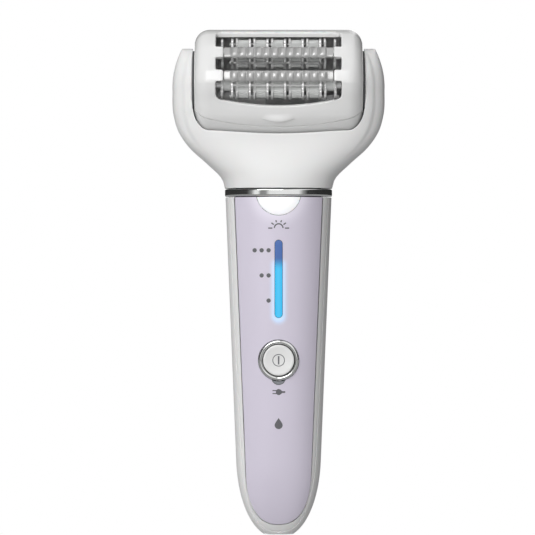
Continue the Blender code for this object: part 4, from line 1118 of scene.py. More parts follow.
class EPILATOR_OT_stage(bpy.types.Operator):
    """A pale floor and backdrop, soft studio light and a camera level with the middle of the object"""

    bl_idname = "epilator.stage"
    bl_label = "Stage, lights and camera"

    def execute(self, context):
        scene = context.scene
        scene.view_settings.view_transform = "Standard"
        self.floor()
        self.world(scene)
        self.lights()
        data = bpy.data.cameras.new("camera")
        distance, view_width = 1.2, 180.8 * MM
        data.lens = data.sensor_width * distance / view_width
        data.clip_start, data.clip_end = 0.05, 20.0
        camera = bpy.data.objects.new("camera", data)
        camera.location = (-3.72 * MM, -distance, 89.9 * MM)
        camera.rotation_euler = (math.pi / 2, 0.0, 0.0)
        scene.collection.objects.link(camera)
        scene.camera = camera
        return {"FINISHED"}

    def floor(self):
        """A wide flat plate under the object, white to the camera and a dull reflector to the object."""
        size, thickness = 6.0, 5 * MM
        grid = np.stack(np.meshgrid([-size, size], [-size, size], indexing="ij"), axis=-1)
        top = np.concatenate([grid, np.zeros((2, 2, 1))], axis=-1)
        skin = Skin()
        skin.slab(top, top - np.array([0.0, 0.0, thickness]))
        floor = mesh_object("stage_floor", skin)
        shader = Shader("stage_floor")
        seen = shader.node("ShaderNodeLightPath")
        white = shader.node("ShaderNodeEmission", values={"Color": (1.0, 1.0, 1.0), "Strength": 1.0})
        dull = shader.node("ShaderNodeEmission", values={"Color": (1.0, 1.0, 1.0), "Strength": 0.34})
        mixed = shader.node("ShaderNodeMixShader", values={0: seen, 1: dull, 2: white})
        out = next(n for n in shader.tree.nodes if n.type == "OUTPUT_MATERIAL")
        shader.feed(out.inputs["Surface"], mixed)
        floor.data.materials.append(shader.material)

    def world(self, scene):
        """White behind the object. The diffuse light is bright from the left and dim from the right, and
        polished pieces reflect two white strips between dark flags."""
        world = bpy.data.worlds.new("studio")
        world.use_nodes = True
        scene.world = world
        tree = world.node_tree
        links = tree.links
        coordinates = tree.nodes.new("ShaderNodeTexCoord")
        split = tree.nodes.new("ShaderNodeSeparateXYZ")
        links.new(coordinates.outputs["Generated"], split.inputs[0])
        lean = self.multiply_add(tree, split.outputs["Z"], -0.4, split.outputs["X"])
        rear = tree.nodes.new("ShaderNodeMath")
        rear.operation = "MAXIMUM"
        rear.inputs[1].default_value = 0.0
        links.new(split.outputs["Y"], rear.inputs[0])
        spread = self.multiply_add(tree, rear.outputs[0], 5.0, 1.0)
        reach = self.multiply_add(tree, lean, spread, 0.0)
        diffuse = self.backdrop(tree, split.outputs["X"], DIFFUSE_STOPS)
        glossy = self.backdrop(tree, reach, GLOSSY_STOPS)
        path = tree.nodes.new("ShaderNodeLightPath")
        behind = tree.nodes["Background"]
        behind.inputs["Color"].default_value = (1.0, 1.0, 1.0, 1.0)
        lit = tree.nodes.new("ShaderNodeMixShader")
        links.new(path.outputs["Is Glossy Ray"], lit.inputs[0])
        links.new(diffuse.outputs[0], lit.inputs[1])
        links.new(glossy.outputs[0], lit.inputs[2])
        mixed = tree.nodes.new("ShaderNodeMixShader")
        links.new(path.outputs["Is Camera Ray"], mixed.inputs[0])
        links.new(lit.outputs[0], mixed.inputs[1])
        links.new(behind.outputs[0], mixed.inputs[2])
        links.new(mixed.outputs[0], tree.nodes["World Output"].inputs[0])

    def multiply_add(self, tree, first, factor, term):
        """A first value times a factor, plus a term; each may be a number or a socket."""
        math_node = tree.nodes.new("ShaderNodeMath")
        math_node.operation = "MULTIPLY_ADD"
        for socket, value in zip(math_node.inputs, (first, factor, term)):
            if isinstance(value, float):
                socket.default_value = value
            else:
                tree.links.new(value, socket)
        return math_node.outputs[0]

    def backdrop(self, tree, across, stops):
        """Levels of grey across the surroundings, from -1 at the left to 1 at the right."""
        spread = tree.nodes.new("ShaderNodeMapRange")
        spread.inputs["From Min"].default_value = -1.0
        ramp = tree.nodes.new("ShaderNodeValToRGB")
        while len(ramp.color_ramp.elements) < len(stops):
            ramp.color_ramp.elements.new(0.5)
        for element, (place, level) in zip(ramp.color_ramp.elements, stops):
            element.position = (place + 1) / 2
            element.color = (level, level, level, 1.0)
        lit = tree.nodes.new("ShaderNodeBackground")
        tree.links.new(across, spread.inputs["Value"])
        tree.links.new(spread.outputs[0], ramp.inputs[0])
        tree.links.new(ramp.outputs[0], lit.inputs["Color"])
        return lit

    def lights(self):
        """A broad key from the upper front, a low front light into the head's slots, a fill from the left
        and a weak top light. Only the key shows in polished pieces."""
        softboxes = (
            ("key", (-0.25, -1.15, 0.70), (0.6, 0.6), 5.0),
            ("front", (-0.30, -1.4, 0.16), (0.5, 0.3), 4.6),
            ("fill", (-1.1, -0.6, 0.25), (0.5, 0.9), 2.6),
            ("top", (0.0, -0.05, 1.3), (0.9, 0.6), 1.6),
        )
        target = np.array([0.0, 0.0, 0.10])
        for name, place, size, power in softboxes:
            data = bpy.data.lights.new(name, "AREA")
            data.shape = "RECTANGLE"
            data.size, data.size_y = size
            data.energy = power
            light = bpy.data.objects.new(name, data)
            light.location = place
            light.rotation_euler = look_rotation(np.array(place), target)
            light.visible_glossy = name == "key"
            bpy.context.scene.collection.objects.link(light)


def look_rotation(place, target):
    """Euler angles that turn a lamp at a place so that it shines at a target, without roll."""
    way = target - place
    flat = math.hypot(way[0], way[1])
    return (math.atan2(flat, -way[2]), 0.0, math.atan2(-way[0], way[1]))


# ---------------------------------------------------------------- neck


def curve_through(points, at):
    """A cubic through (distance, height) points, with each point's slope from its two neighbours."""
    x, y = np.array(points).T
    slopes = np.gradient(y, x)
    i = np.clip(np.searchsorted(x, at) - 1, 0, len(x) - 2)
    step = x[i + 1] - x[i]
    t = (at - x[i]) / step
    rise = (2 * t**3 - 3 * t**2 + 1) * y[i] + (3 * t**2 - 2 * t**3) * y[i + 1]
    return rise + step * ((t**3 - 2 * t**2 + t) * slopes[i] + (t**3 - t**2) * slopes[i + 1])


def neck_halves(z):
    """Half width, half depth and power of the neck's section at each height.
    The width flares by a curve, the depth eases to the arms' radius, and both close above the pivot."""
    foot_width, foot_depth = HANDLE_TOP_HALF + 0.2 * MM
    z = np.asarray(z, dtype=float)
    rise = PIVOT[2] - NECK_FOOT
    t = np.clip((z - NECK_FOOT) / rise, 0, 1)
    over = np.clip((z - PIVOT[2]) / ARM_RADIUS, 0, 1)
    share = curve_through(NECK_FLARE, t) - (1 - ARM_TOP_SHARE) * over**2
    half_width = foot_width + (ARM_OUTER - foot_width) * share
    half_depth = foot_depth + (ARM_RADIUS - foot_depth) * ease(t / 0.55)
    half_depth = np.maximum(half_depth * np.sqrt(1 - over**2), NECK_PARTING / 2)
    power = HANDLE_POWER + (ARM_POWER - HANDLE_POWER) * np.clip(2 * t, 0, 1)
    return half_width, half_depth, power


def neck_depth(x, z):
    """Distance of the neck's surface from the middle plane, less the crease that sets back
    the arms' side band."""
    half_width, half_depth, power = neck_halves(z)
    across = np.clip(np.abs(x) / half_width, 0, 1)
    depth = half_depth * (1 - across**power) ** (1 / power)
    outside = ease((np.abs(x) - half_width + CREASE_INSET) / CREASE_WIDTH)
    band = outside * ease((z - CREASE_START) / CREASE_RISE)
    return np.maximum(depth - CREASE_DEPTH * band * np.clip(depth / half_depth, 0, 1), NECK_PARTING / 2)


def cradle_radius(x):
    """The cradle's radius about the pivot: the head's with its clearance, less the crown's square law
    and less the arc of the head's rounded ends."""
    rounding = END_ROUNDING + sizes().head_clearance
    over = np.clip(np.abs(x) - ARM_INNER + rounding, 0, rounding)
    drop = np.minimum(rounding - np.sqrt(rounding**2 - over**2), CRADLE_END_SHARE * rounding)
    return sizes().head_radius + sizes().head_clearance - CROWN * (x / HEAD_END) ** 2 - drop


def cradle_z(x, depth):
    """Height of the cradle at a distance across and from the middle plane."""
    return PIVOT[2] - np.sqrt(cradle_radius(x) ** 2 - depth**2)


def rounded(first, corner, last, count):
    """Points of a quadratic curve from first to last that leans towards the corner, along a new axis 0."""
    t = np.linspace(0, 1, count).reshape(-1, 1, 1)
    return (1 - t) ** 2 * first + 2 * t * (1 - t) * corner + t**2 * last


def neck_grids():
    """The front half's surfaces as depths from the middle plane, for x from 0 to the right.

    middle: between the arms, from the foot up, over the rounded rim and back along the cradle.
    side: from the split out to the parting plane, from the foot to the arm's top.
    inner: the arm's face beside the head. The others close the foot and the parting plane."""
    d0 = NECK_PARTING / 2
    # the cradle's front edge, where the outer surface meets the cradle: from a first guess, by repetition
    columns = 49
    edge_z = np.full(columns, NECK_FOOT + 19 * MM)
    share = 1 - (1 - np.linspace(0, 1, columns)) ** 1.7
    for _ in range(40):
        width = neck_halves(edge_z[-1])[0]
        x = share * ARM_INNER / width * neck_halves(edge_z)[0]
        edge_z = cradle_z(x, neck_depth(x, edge_z))
    split = ARM_INNER / neck_halves(edge_z[-1])[0]
    x_edge = share * split * neck_halves(edge_z)[0]
    d_edge = neck_depth(x_edge, edge_z)
    fade = ease((1 - share) * ARM_INNER / (3 * MM))
    low_z = edge_z - NECK_EDGE * fade

    rows = np.linspace(0, 1, 22)[:, None]
    z = NECK_FOOT + (low_z - NECK_FOOT) * rows
    x = share * split * neck_halves(z)[0]
    front = grid_of(x, neck_depth(x, z), z)
    back_depth = d_edge - NECK_EDGE * fade
    last = grid_of(x_edge, back_depth, cradle_z(x_edge, back_depth))
    rim = rounded(front[-1][None], grid_of(x_edge, d_edge, edge_z)[None], last[None], 6)[1:-1]
    depth = back_depth + (d0 - back_depth) * np.linspace(0, 1, CRADLE_ROWS)[:, None]
    cradle = grid_of(x_edge, depth, cradle_z(x_edge, depth))
    middle = np.concatenate([front, rim.reshape(-1, columns, 3), cradle])

    # the side: rows up to the rim share the middle's, then they follow the arm
    top = PIVOT[2] + ARM_RADIUS
    arm = np.linspace(0, 1, 34)[1:]
    arm_z = edge_z[-1] + (top - edge_z[-1]) * np.sin(arm * np.pi / 2) ** 0.9
    z = np.append(front[:, -1, 2], arm_z)[:, None]
    half_width, half_depth, power = neck_halves(z)
    x_split = np.where(z <= edge_z[-1] + 1e-9, split * half_width, ARM_INNER)
    d_split = neck_depth(x_split, z)
    radius = NECK_EDGE * ease((z - edge_z[-1]) / (3 * MM)) * np.clip(d_split / (4 * MM), 0, 1)
    x_start = x_split + radius
    start_turn = np.arccos(np.clip(x_start / half_width, 0, 1) ** (power / 2))
    end_turn = np.where(half_depth > 2 * d0, np.arcsin(np.clip(d0 / half_depth, 0, 1) ** (power / 2)), 0.0)
    turns = end_turn + (start_turn - end_turn) * (1 - np.linspace(0, 1, 25)[None, :]) ** 1.3
    x = half_width * np.cos(turns) ** (2 / power)
    outside = grid_of(x, neck_depth(x, z), z)
    outside[:, -1, 1] = d0
    first = grid_of(x_split, d_split - radius, z)[:, 0]
    corner = grid_of(x_split, d_split, z)[:, 0]
    edge = rounded(first[None], corner[None], outside[:, 0][None], 6)[:-1]
    side = np.concatenate([np.moveaxis(edge, 0, 1), outside], axis=1)

    # the arm's inner face, from the cradle's end up
    count = len(front) - 1
    climb = (np.append(edge_z[-1], arm_z) - edge_z[-1]) / (top - edge_z[-1])
    floor = cradle[:, -1]
    front_depth = side[count:, 0, 1]
    inward = (floor[0, 1] - floor[:, 1]) / (floor[0, 1] - d0)
    depth = front_depth[:, None] + (d0 - front_depth[:, None]) * inward
    z = side[count:, 0, 2][:, None] + (floor[:, 2] - floor[0, 2]) * (1 - climb[:, None])
    inner = grid_of(ARM_INNER, depth, z)

    # the parting plane: the middle's columns and, beside them, the side's rows
    floor_z = cradle[-1, :, 2]
    width = neck_halves(NECK_FOOT + (edge_z - NECK_FOOT) * rows)[0]
    back_middle = grid_of(share * split * width, d0, NECK_FOOT + (floor_z - NECK_FOOT) * rows)
    left = np.concatenate([back_middle[:, -1], inner[1:, -1]])
    crest = side[-1, :, 0]
    shares = ((crest - crest[0]) / (crest[-1] - crest[0]))[None, :, None]
    back_side = left[:, None] + (side[:, -1][:, None] - left[:, None]) * shares
    back_side[..., 1] = d0
    depth_shares = np.linspace(0, 1, 6)[:, None, None]
    foot_middle = front[0] + (back_middle[0] - front[0]) * depth_shares
    foot_side = side[0] + (back_side[0] - side[0]) * depth_shares
    return middle, side, inner, back_middle, back_side, foot_middle, foot_side


def level_ring(half_width, half_depth, z, count):
    """A level ring of the handle's superellipse."""
    x, y = superellipse(half_width, half_depth, HANDLE_POWER, full_turn(count))
    return grid_of(x, y, z)


def neck_cutters():
    """The lead's hollow, the seal's seat, the screws' bores and wells, and the bushes' seats."""
    hollow_top = PIVOT[2] - cradle_radius(0.0) - 2.9 * MM
    hollow = [level_ring(14.4 * MM, 11.4 * MM, z, 64) for z in (COLLAR_LOW, hollow_top)]
    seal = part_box("collar_seal")[1]
    seat = [level_ring(seal.x + GAP, seal.y + GAP, z, 96) for z in (COLLAR_LOW, seal.z + GAP)]
    cutters = [np.stack(hollow), np.stack(seat)]
    for side in ("left", "right"):
        low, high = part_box("neck_screw_" + side)
        middle = np.array([(low.x + high.x) / 2, 0.0, (low.z + high.z) / 2])
        head = (high.x - low.x) / 2
        shank = head - 1.0 * MM
        under = high.y - 0.8 * MM
        bore, well = shank + 0.25 * MM, head + GAP
        profile = [(bore, low.y - 1.5 * MM), (bore, under), (well, under), (well, FAR)]
        cutters.append(turned(profile, middle, [0, 1, 0], 32))
        low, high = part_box("pivot_bush_" + side)
        reach, radius = max(abs(low.x), abs(high.x)), (high.z - low.z) / 2
        way = 1 if high.x > 0 else -1
        seat = [(radius + GAP / 2, ARM_INNER - 2 * MM), (radius + GAP / 2, reach + GAP)]
        cutters.append(turned(seat, PIVOT, [way, 0, 0], 48))
    return cutters


class EPILATOR_OT_neck(bpy.types.Operator):
    """The neck's front and rear halves with their two arms and the cradle for the head"""

    bl_idname = "epilator.neck"
    bl_label = "Neck"

    def execute(self, context):
        for name, sign in (("front", -1.0), ("rear", 1.0)):
            skin = Skin()
            for grid in neck_grids():
                for way in (1.0, -1.0):
                    skin.sheet(grid * np.array([way, sign, 1.0]))
            made = mesh_object(f"neck_{name}_half", skin)
            cutters = []
            for rings in neck_cutters():
                cutter = Skin()
                cutter.tube(rings)
                cutters.append(cutter)
            cut_out(made, cutters)
            finish_piece(made, "handle", "white_plastic", [f"neck_{name}"])
            # a dark strip inside the cradle's rim is painted shade for the gap under the head
            self.shade_strip(name, sign)
        return {"FINISHED"}

    def shade_strip(self, name, sign):
        """A thin dark strip just inside the cradle's rim, painted shade for the gap under the head: rows of
        the cradle moved towards the pivot.
        """
        rows = neck_grids()[0][-CRADLE_ROWS : -CRADLE_ROWS + SHADE_STRIP_ROWS, :-1]
        top, underside = 0.35 * MM, 0.05 * MM

        def raised(height):
            deep, up = rows[..., 1], rows[..., 2] - PIVOT[2]
            share = 1 - height / np.hypot(deep, up)
            return grid_of(rows[..., 0], sign * deep * share, PIVOT[2] + up * share)

        skin = Skin()
        for way in (1.0, -1.0):
            turn = np.array([way, 1.0, 1.0])
            skin.slab(raised(top) * turn, raised(underside) * turn, "top bottom right")
        piece(f"cradle_shade_strip_{name}", skin, "handle", "grey_rubber")


# ---------------------------------------------------------------- head


def head_place(x, angle, radius):
    """A point by its distance across, its angle from +Z towards the front and its radius from the pivot."""
    turn = np.radians(angle)
    return grid_of(x, PIVOT[1] - radius * np.sin(turn), PIVOT[2] + radius * np.cos(turn))


def head_relief(x, angle):
    """How far the head's surface lies inside its plain cylinder: the crown's square law underneath,
    and a squared sine across each of the two flats that meet in the ridge of the working face."""
    back = np.abs((angle - 225.0 + 180.0) % 360.0 - 180.0)
    relief = CROWN * (x / HEAD_END) ** 2 * np.clip((135.0 - back) / 30.0, 0, 1)
    for start, span, depth in FACE_FLATS:
        share = np.clip((angle - start) / span, 0, 1)
        relief = relief + depth * np.sin(np.pi * share) ** 2
    return relief


def thumb_bump(x, angle):
    """A lens under the opening: it swells towards a sharp lower edge, which curves up at its ends."""
    across = np.clip(1 - (x / BUMP_HALF_WIDTH) ** 2, 0, 1)
    edge = BUMP_EDGE - BUMP_CURVE * (1 - across)
    swell = np.clip((angle - BUMP_TOP) / (edge - BUMP_TOP), 0, 1)
    return BUMP_HEIGHT * across * ease(swell) ** 1.3 * (1 - ease((angle - edge) / 0.9))


def parting_lift(x, angle, radius):
    """Degrees by which the line between cap and base rises towards the head's ends: the square of the
    distance across, fading with the square of the way back up to the opening and towards the axis."""
    edge = COVER_ANGLE + np.degrees(np.arccos(np.clip(COVER_OFFSET / radius, -1, 1)))
    share = np.clip(1 - np.abs(angle - edge) / (edge - PARTING_START), 0, 1)
    depth = np.clip((radius - COVER_OFFSET) / (sizes().head_radius - COVER_OFFSET), 0, 1)
    return PARTING_RISE * (x / HEAD_END) ** 2 * share**2 * depth


def end_profile(inset, foot, end_radius):
    """x and radius from the start of the rounded end to the axis side: an arc whose drop is capped,
    the flat end face down to end_radius, and the foot radius below which the section closes."""
    rounding = END_ROUNDING - inset
    straight = HEAD_END - END_ROUNDING
    full = sizes().head_radius - inset
    last = math.degrees(math.acos(1 - END_DROP_SHARE))
    turn = np.radians(np.linspace(0, last, 11))
    x = straight + rounding * np.sin(turn)
    radius = full - rounding * (1 - np.cos(turn))
    face = np.linspace(radius[-1], foot, 9)
    if end_radius < foot:
        face = np.append(face, np.linspace(foot, end_radius, 5)[1:])
    return np.append(x, np.full(len(face), HEAD_END - inset)), np.append(radius, face)


def side_outline():
    """The opening's right side as (angle, x) rows: straight slot ends and tabs with rounded corners."""
    radius = sizes().head_radius
    wide, tab = sizes().opening_half_width, sizes().tab_reach
    hair = 0.01 * MM
    edges = [math.radians(a) * radius for pair in SLOT_ANGLES for a in pair]

    def corner(x, s, r, start, end):
        return arc((x, s), r, start, end, 6)

    runs = [corner(wide - SLOT_CORNER, edges[0] + SLOT_CORNER, SLOT_CORNER, -90, 0)]
    for low, high in ((edges[1], edges[2]), (edges[3], edges[4])):
        runs.append(corner(wide - SLOT_CORNER, low - hair - SLOT_CORNER, SLOT_CORNER, 0, 90))
        runs.append(corner(tab + TAB_CORNER, low + hair + TAB_CORNER, TAB_CORNER, 270, 180))
        runs.append(corner(tab + TAB_CORNER, high - hair - TAB_CORNER, TAB_CORNER, 180, 90))
        runs.append(corner(wide - SLOT_CORNER, high + hair + SLOT_CORNER, SLOT_CORNER, -90, 0))
    runs.append(corner(wide - CHIN_CORNER, edges[5] - CHIN_CORNER, CHIN_CORNER, 0, 90))
    x, s = np.vstack(runs).T
    return np.degrees(s / radius), x


def cover_rows():
    """The cap's rows: angles on the full radius, the opening's half widths and which rows it takes."""
    reach = cover_reach(sizes().head_radius)
    angle, x = side_outline()
    above = np.linspace(COVER_ANGLE - reach, angle[0], 22)[:-1]
    below = np.linspace(angle[-1], COVER_ANGLE + reach, 110)[1:]
    angles = np.concatenate([above, angle, below])
    halves = np.concatenate([np.full(len(above), x[0]), x, np.full(len(below), x[-1])])
    return angles, halves, len(above), len(above) + len(angle) - 1


def cover_reach(radius):
    """Half the angle that the cap takes of a circle of a radius: the arc cosine of its plane's distance."""
    return np.degrees(np.arccos(np.clip((COVER_OFFSET + GAP / 2) / radius, -1, 1)))


def cap_surface(x, angle, radius, inset):
    """Points of the cap's outer or inner surface, with its relief fading towards the end face's middle."""
    full = sizes().head_radius - inset
    fade = np.clip(radius / (full - END_DROP_SHARE * END_ROUNDING), 0, 1)
    angle = angle - parting_lift(x, angle, radius)
    relief = head_relief(x, angle) * fade
    if inset == 0:
        relief = relief - thumb_bump(x, angle)
    return head_place(x, angle, radius - relief)


def cap_side(inset):
    """The cap beside its opening and over its end, as a grid of rows by angle and columns outwards."""
    angles, halves, first, last = cover_rows()
    straight = HEAD_END - END_ROUNDING
    full = sizes().head_radius - inset
    turn = np.linspace(0, np.pi / 2, 5)[None, :-1] if inset == 0 else np.full((1, 4), np.pi / 2)
    inside = np.zeros(len(angles))
    inside[first : last + 1] = 1.0
    lip = (LIP * inside)[:, None]
    lip_x = halves[:, None] + lip * (1 - np.cos(turn))
    lip_radius = full - lip * (1 - np.sin(turn))
    run_x = halves[:, None] + lip + (straight - halves[:, None] - lip) * np.linspace(0, 1, 9)[None, :-1]
    end_x, end_radius = end_profile(inset, COVER_OFFSET + GAP / 2, math.inf)
    rows, before_end = len(angles), lip_x.shape[1] + run_x.shape[1]
    end_radius = np.broadcast_to(end_radius, (rows, len(end_x)))
    x = np.hstack([lip_x, run_x, np.broadcast_to(end_x, end_radius.shape)])
    radius = np.hstack([lip_radius, np.full(run_x.shape, full), end_radius])
    nominal = np.hstack([np.full((rows, before_end), full), end_radius])
    share = (angles - COVER_ANGLE) / cover_reach(sizes().head_radius)
    angle = COVER_ANGLE + share[:, None] * cover_reach(nominal)
    if inset:
        angle[:, :before_end] = angles[:, None]
    return cap_surface(x, angle, radius, inset), first, last


def cap_strip(side, inset):
    """The cap across its whole width above or below the opening, as a grid of rows by angle.
    Below, the opening's edge sags by a square law, and the rows spread evenly under it."""
    angles, halves, first, last = cover_rows()
    full = sizes().head_radius - inset
    rows = angles[: first + 1][::-1] if side == "above" else angles[last:]
    half = halves[first] if side == "above" else halves[last]
    x = half * np.linspace(-1, 1, 73)[None, :]
    sag = 0.0 if side == "above" else math.degrees(CHIN_SAG / sizes().head_radius)
    edge = rows[0] + sag * (1 - (x / half) ** 2)
    share = ((rows - rows[0]) / (rows[-1] - rows[0]))[:, None]
    angle = edge + (rows[-1] - edge) * share
    fade = ease((1 - np.abs(x / half)) * half / (1.5 * MM))
    if inset == 0:
        turn = np.linspace(0, np.pi / 2, 5)[:, None]
        lip_degrees = math.degrees(LIP / sizes().head_radius)
        way = -1.0 if side == "above" else 1.0
        lip_angle = edge + way * lip_degrees * (1 - np.cos(turn)) * fade
        lip_radius = full - LIP * (1 - np.sin(turn)) * fade
        begin = lip_angle[-1]
        angle = begin + (rows[-1] - begin) * share
        angle[1:, [0, -1]] = rows[1:, None]
        angles_all = np.concatenate([lip_angle, angle[1:]])
        radii = np.concatenate([lip_radius, np.full(angle[1:].shape, full)])
        return cap_surface(x, angles_all, radii, inset)
    repeats = np.repeat(angle[:1], 4, axis=0)
    return cap_surface(x, np.concatenate([repeats, angle]), np.float64(full), inset)


class EPILATOR_OT_head_cap(bpy.types.Operator):
    """The head's removable cap with its slotted opening, tabs, thumb bump and top rail"""

    bl_idname = "epilator.head_cap"
    bl_label = "Head cap"

    def execute(self, context):
        wall = sizes().head_wall
        outer, first, last = cap_side(0.0)
        inner, _, _ = cap_side(wall)
        skin = Skin()
        for way in (1.0, -1.0):
            turn = np.array([way, 1.0, 1.0])
            skin.slab(outer * turn, inner * turn, "top bottom")
            skin.sheet(np.stack([outer[first : last + 1, 0], inner[first : last + 1, 0]]) * turn)
        for side in ("above", "below"):
            skin.slab(cap_strip(side, 0.0), cap_strip(side, wall), "top bottom")
        piece("head_cap", skin, "cover", "gloss_white", ["head_cover"])
        self.rail()
        return {"FINISHED"}

    def rail(self):
        """The thin raised bar along the upper edge of the opening: a half-round strip with round ends."""
        half = sizes().tab_reach + 1.2 * MM
        x = half * np.sin(np.linspace(-np.pi / 2, np.pi / 2, 41))[:, None]
        taper = np.sqrt(np.clip(1 - np.clip((np.abs(x) - half + 0.6 * MM) / (0.6 * MM), 0, 1) ** 2, 0, 1))
        turn = full_turn(24)[None, :]
        middle, reach = SLOT_ANGLES[0][0] - 2.2, 1.5
        angle = middle + reach * np.cos(turn) * taper
        radius = sizes().head_radius - 0.1 * MM + 0.42 * MM * np.sin(turn) * taper
        skin = Skin()
        skin.tube(head_place(x, angle, radius))
        piece("cap_rail", skin, "cover", "clear_plastic")


class EPILATOR_OT_head_base(bpy.types.Operator):
    """The head's crowned base, which turns in the cradle, with a hole in each end for its pivot pin"""

    bl_idname = "epilator.head_base"
    bl_label = "Head base"

    def surface(self, inset):
        """From the middle out over one end: rows by angle about the side away from the cap."""
        foot, hole = COVER_OFFSET - GAP / 2, 2.55 * MM
        end_x, end_radius = end_profile(inset, foot, hole)
        x = np.append(np.linspace(0, HEAD_END - END_ROUNDING, 26)[:-1], end_x)
        radius = np.append(np.full(25, sizes().head_radius - inset), end_radius)
        reach = 180 - np.degrees(np.arccos(np.clip(foot / radius, -1, 1)))
        angle = COVER_ANGLE + 180 + np.linspace(-1, 1, 97)[:, None] * reach
        full = sizes().head_radius - inset
        fade = np.clip(radius / (full - END_DROP_SHARE * END_ROUNDING), 0, 1)
        angle = angle - parting_lift(x, angle, radius)
        closed = int(np.argmax(radius <= foot + 1e-9))
        return head_place(x, angle, radius - head_relief(x, angle) * fade), closed

    def execute(self, context):
        outer, closed = self.surface(0.0)
        inner, _ = self.surface(sizes().head_wall)
        skin = Skin()
        for way in (1.0, -1.0):
            turn = np.array([way, 1.0, 1.0])
            skin.slab(outer * turn, inner * turn, "right")
            for row in (0, -1):
                strip = [outer[row, : closed + 1] * turn, inner[row, : closed + 1] * turn]
                skin.sheet(np.stack(strip))
        piece("head_shell", skin, "head", "gloss_white", ["head_base"])
        return {"FINISHED"}


class EPILATOR_OT_guards(bpy.types.Operator):
    """The two silver bars across the opening, swollen into round lobes, with plain clear ends"""

    bl_idname = "epilator.guards"
    bl_label = "Guard bars"

    def execute(self, context):
        names = ("upper", "lower")
        for name, above, below in zip(names, SLOT_ANGLES, SLOT_ANGLES[1:]):
            self.bar(name, above[1], below[0])
        return {"FINISHED"}

    def bar(self, name, low, high):
        """Along x the lobes swell by the square root of a sine; across, the section is a flattened arch."""
        end = sizes().tab_reach - 0.3 * MM
        lobed, pitch = 16.0 * MM, 32.0 * MM / sizes().guard_lobes
        sunk, plain, swell, deep = 0.85 * MM, 0.25 * MM, 0.75 * MM, 1.5 * MM
        x = np.linspace(-end, end, 16 * sizes().guard_lobes + 1)[:, None]
        inside = ease((lobed - np.abs(x)) / (0.3 * MM) + 1)
        lobe = np.sqrt(np.abs(np.sin(np.pi * (x + lobed) / pitch))) * inside
        v = np.linspace(-1, 1, 17)[None, :]
        middle, half = (low + high) / 2, (high - low) / 2
        reach = half * np.where(v > 0, 0.92 + 0.16 * lobe, 0.95 + 0.05 * lobe)
        angle = middle + v * reach
        full = sizes().head_radius
        arch = np.sqrt(np.clip(1 - v**4, 0, 1))
        top = full - sunk + (plain + swell * lobe * np.sqrt(np.clip(1 - v**2, 0, 1))) * arch
        skin = Skin()
        skin.slab(head_place(x, angle, top), head_place(x, angle, full - deep))
        piece(f"guard_{name}", skin, "cover", "silver_plastic", [f"guard_bar_{name}"])


# ---------------------------------------------------------------- rotors


def lobed_radius(turns, phase, valley, tip, ribs=0.0):
    """Four flat-topped lobes: a smooth step of the cosine of four times the angle, with ribs on top."""
    wave = np.cos(4 * (turns - math.radians(phase)))
    lobe = ease((wave + 0.45) / 0.8)
    grooves = ribs * lobe * (0.5 - 0.5 * np.sign(np.cos(40 * (turns - math.radians(phase))) - 0.1))
    return valley + (tip - valley) * lobe - grooves


def rotor_ring(axis, x, turns, radius):
    """A closed ring of points square to the rotor's axis; angles run from +Z towards the front."""
    return grid_of(x, axis[1] - radius * np.sin(turns), axis[2] + radius * np.cos(turns))


def disc(skin, axis, low, high, radii, turns, chamfer=0.08 * MM):
    """A lobed plate with chamfered rims."""
    stations = ((low, chamfer), (low + chamfer, 0.0), (high - chamfer, 0.0), (high, chamfer))
    skin.tube(np.stack([rotor_ring(axis, x, turns, radii - inset) for x, inset in stations]))


def plate_places():
    count, pitch = sizes().plate_count, sizes().plate_pitch
    return (np.arange(count) - (count - 1) / 2) * pitch


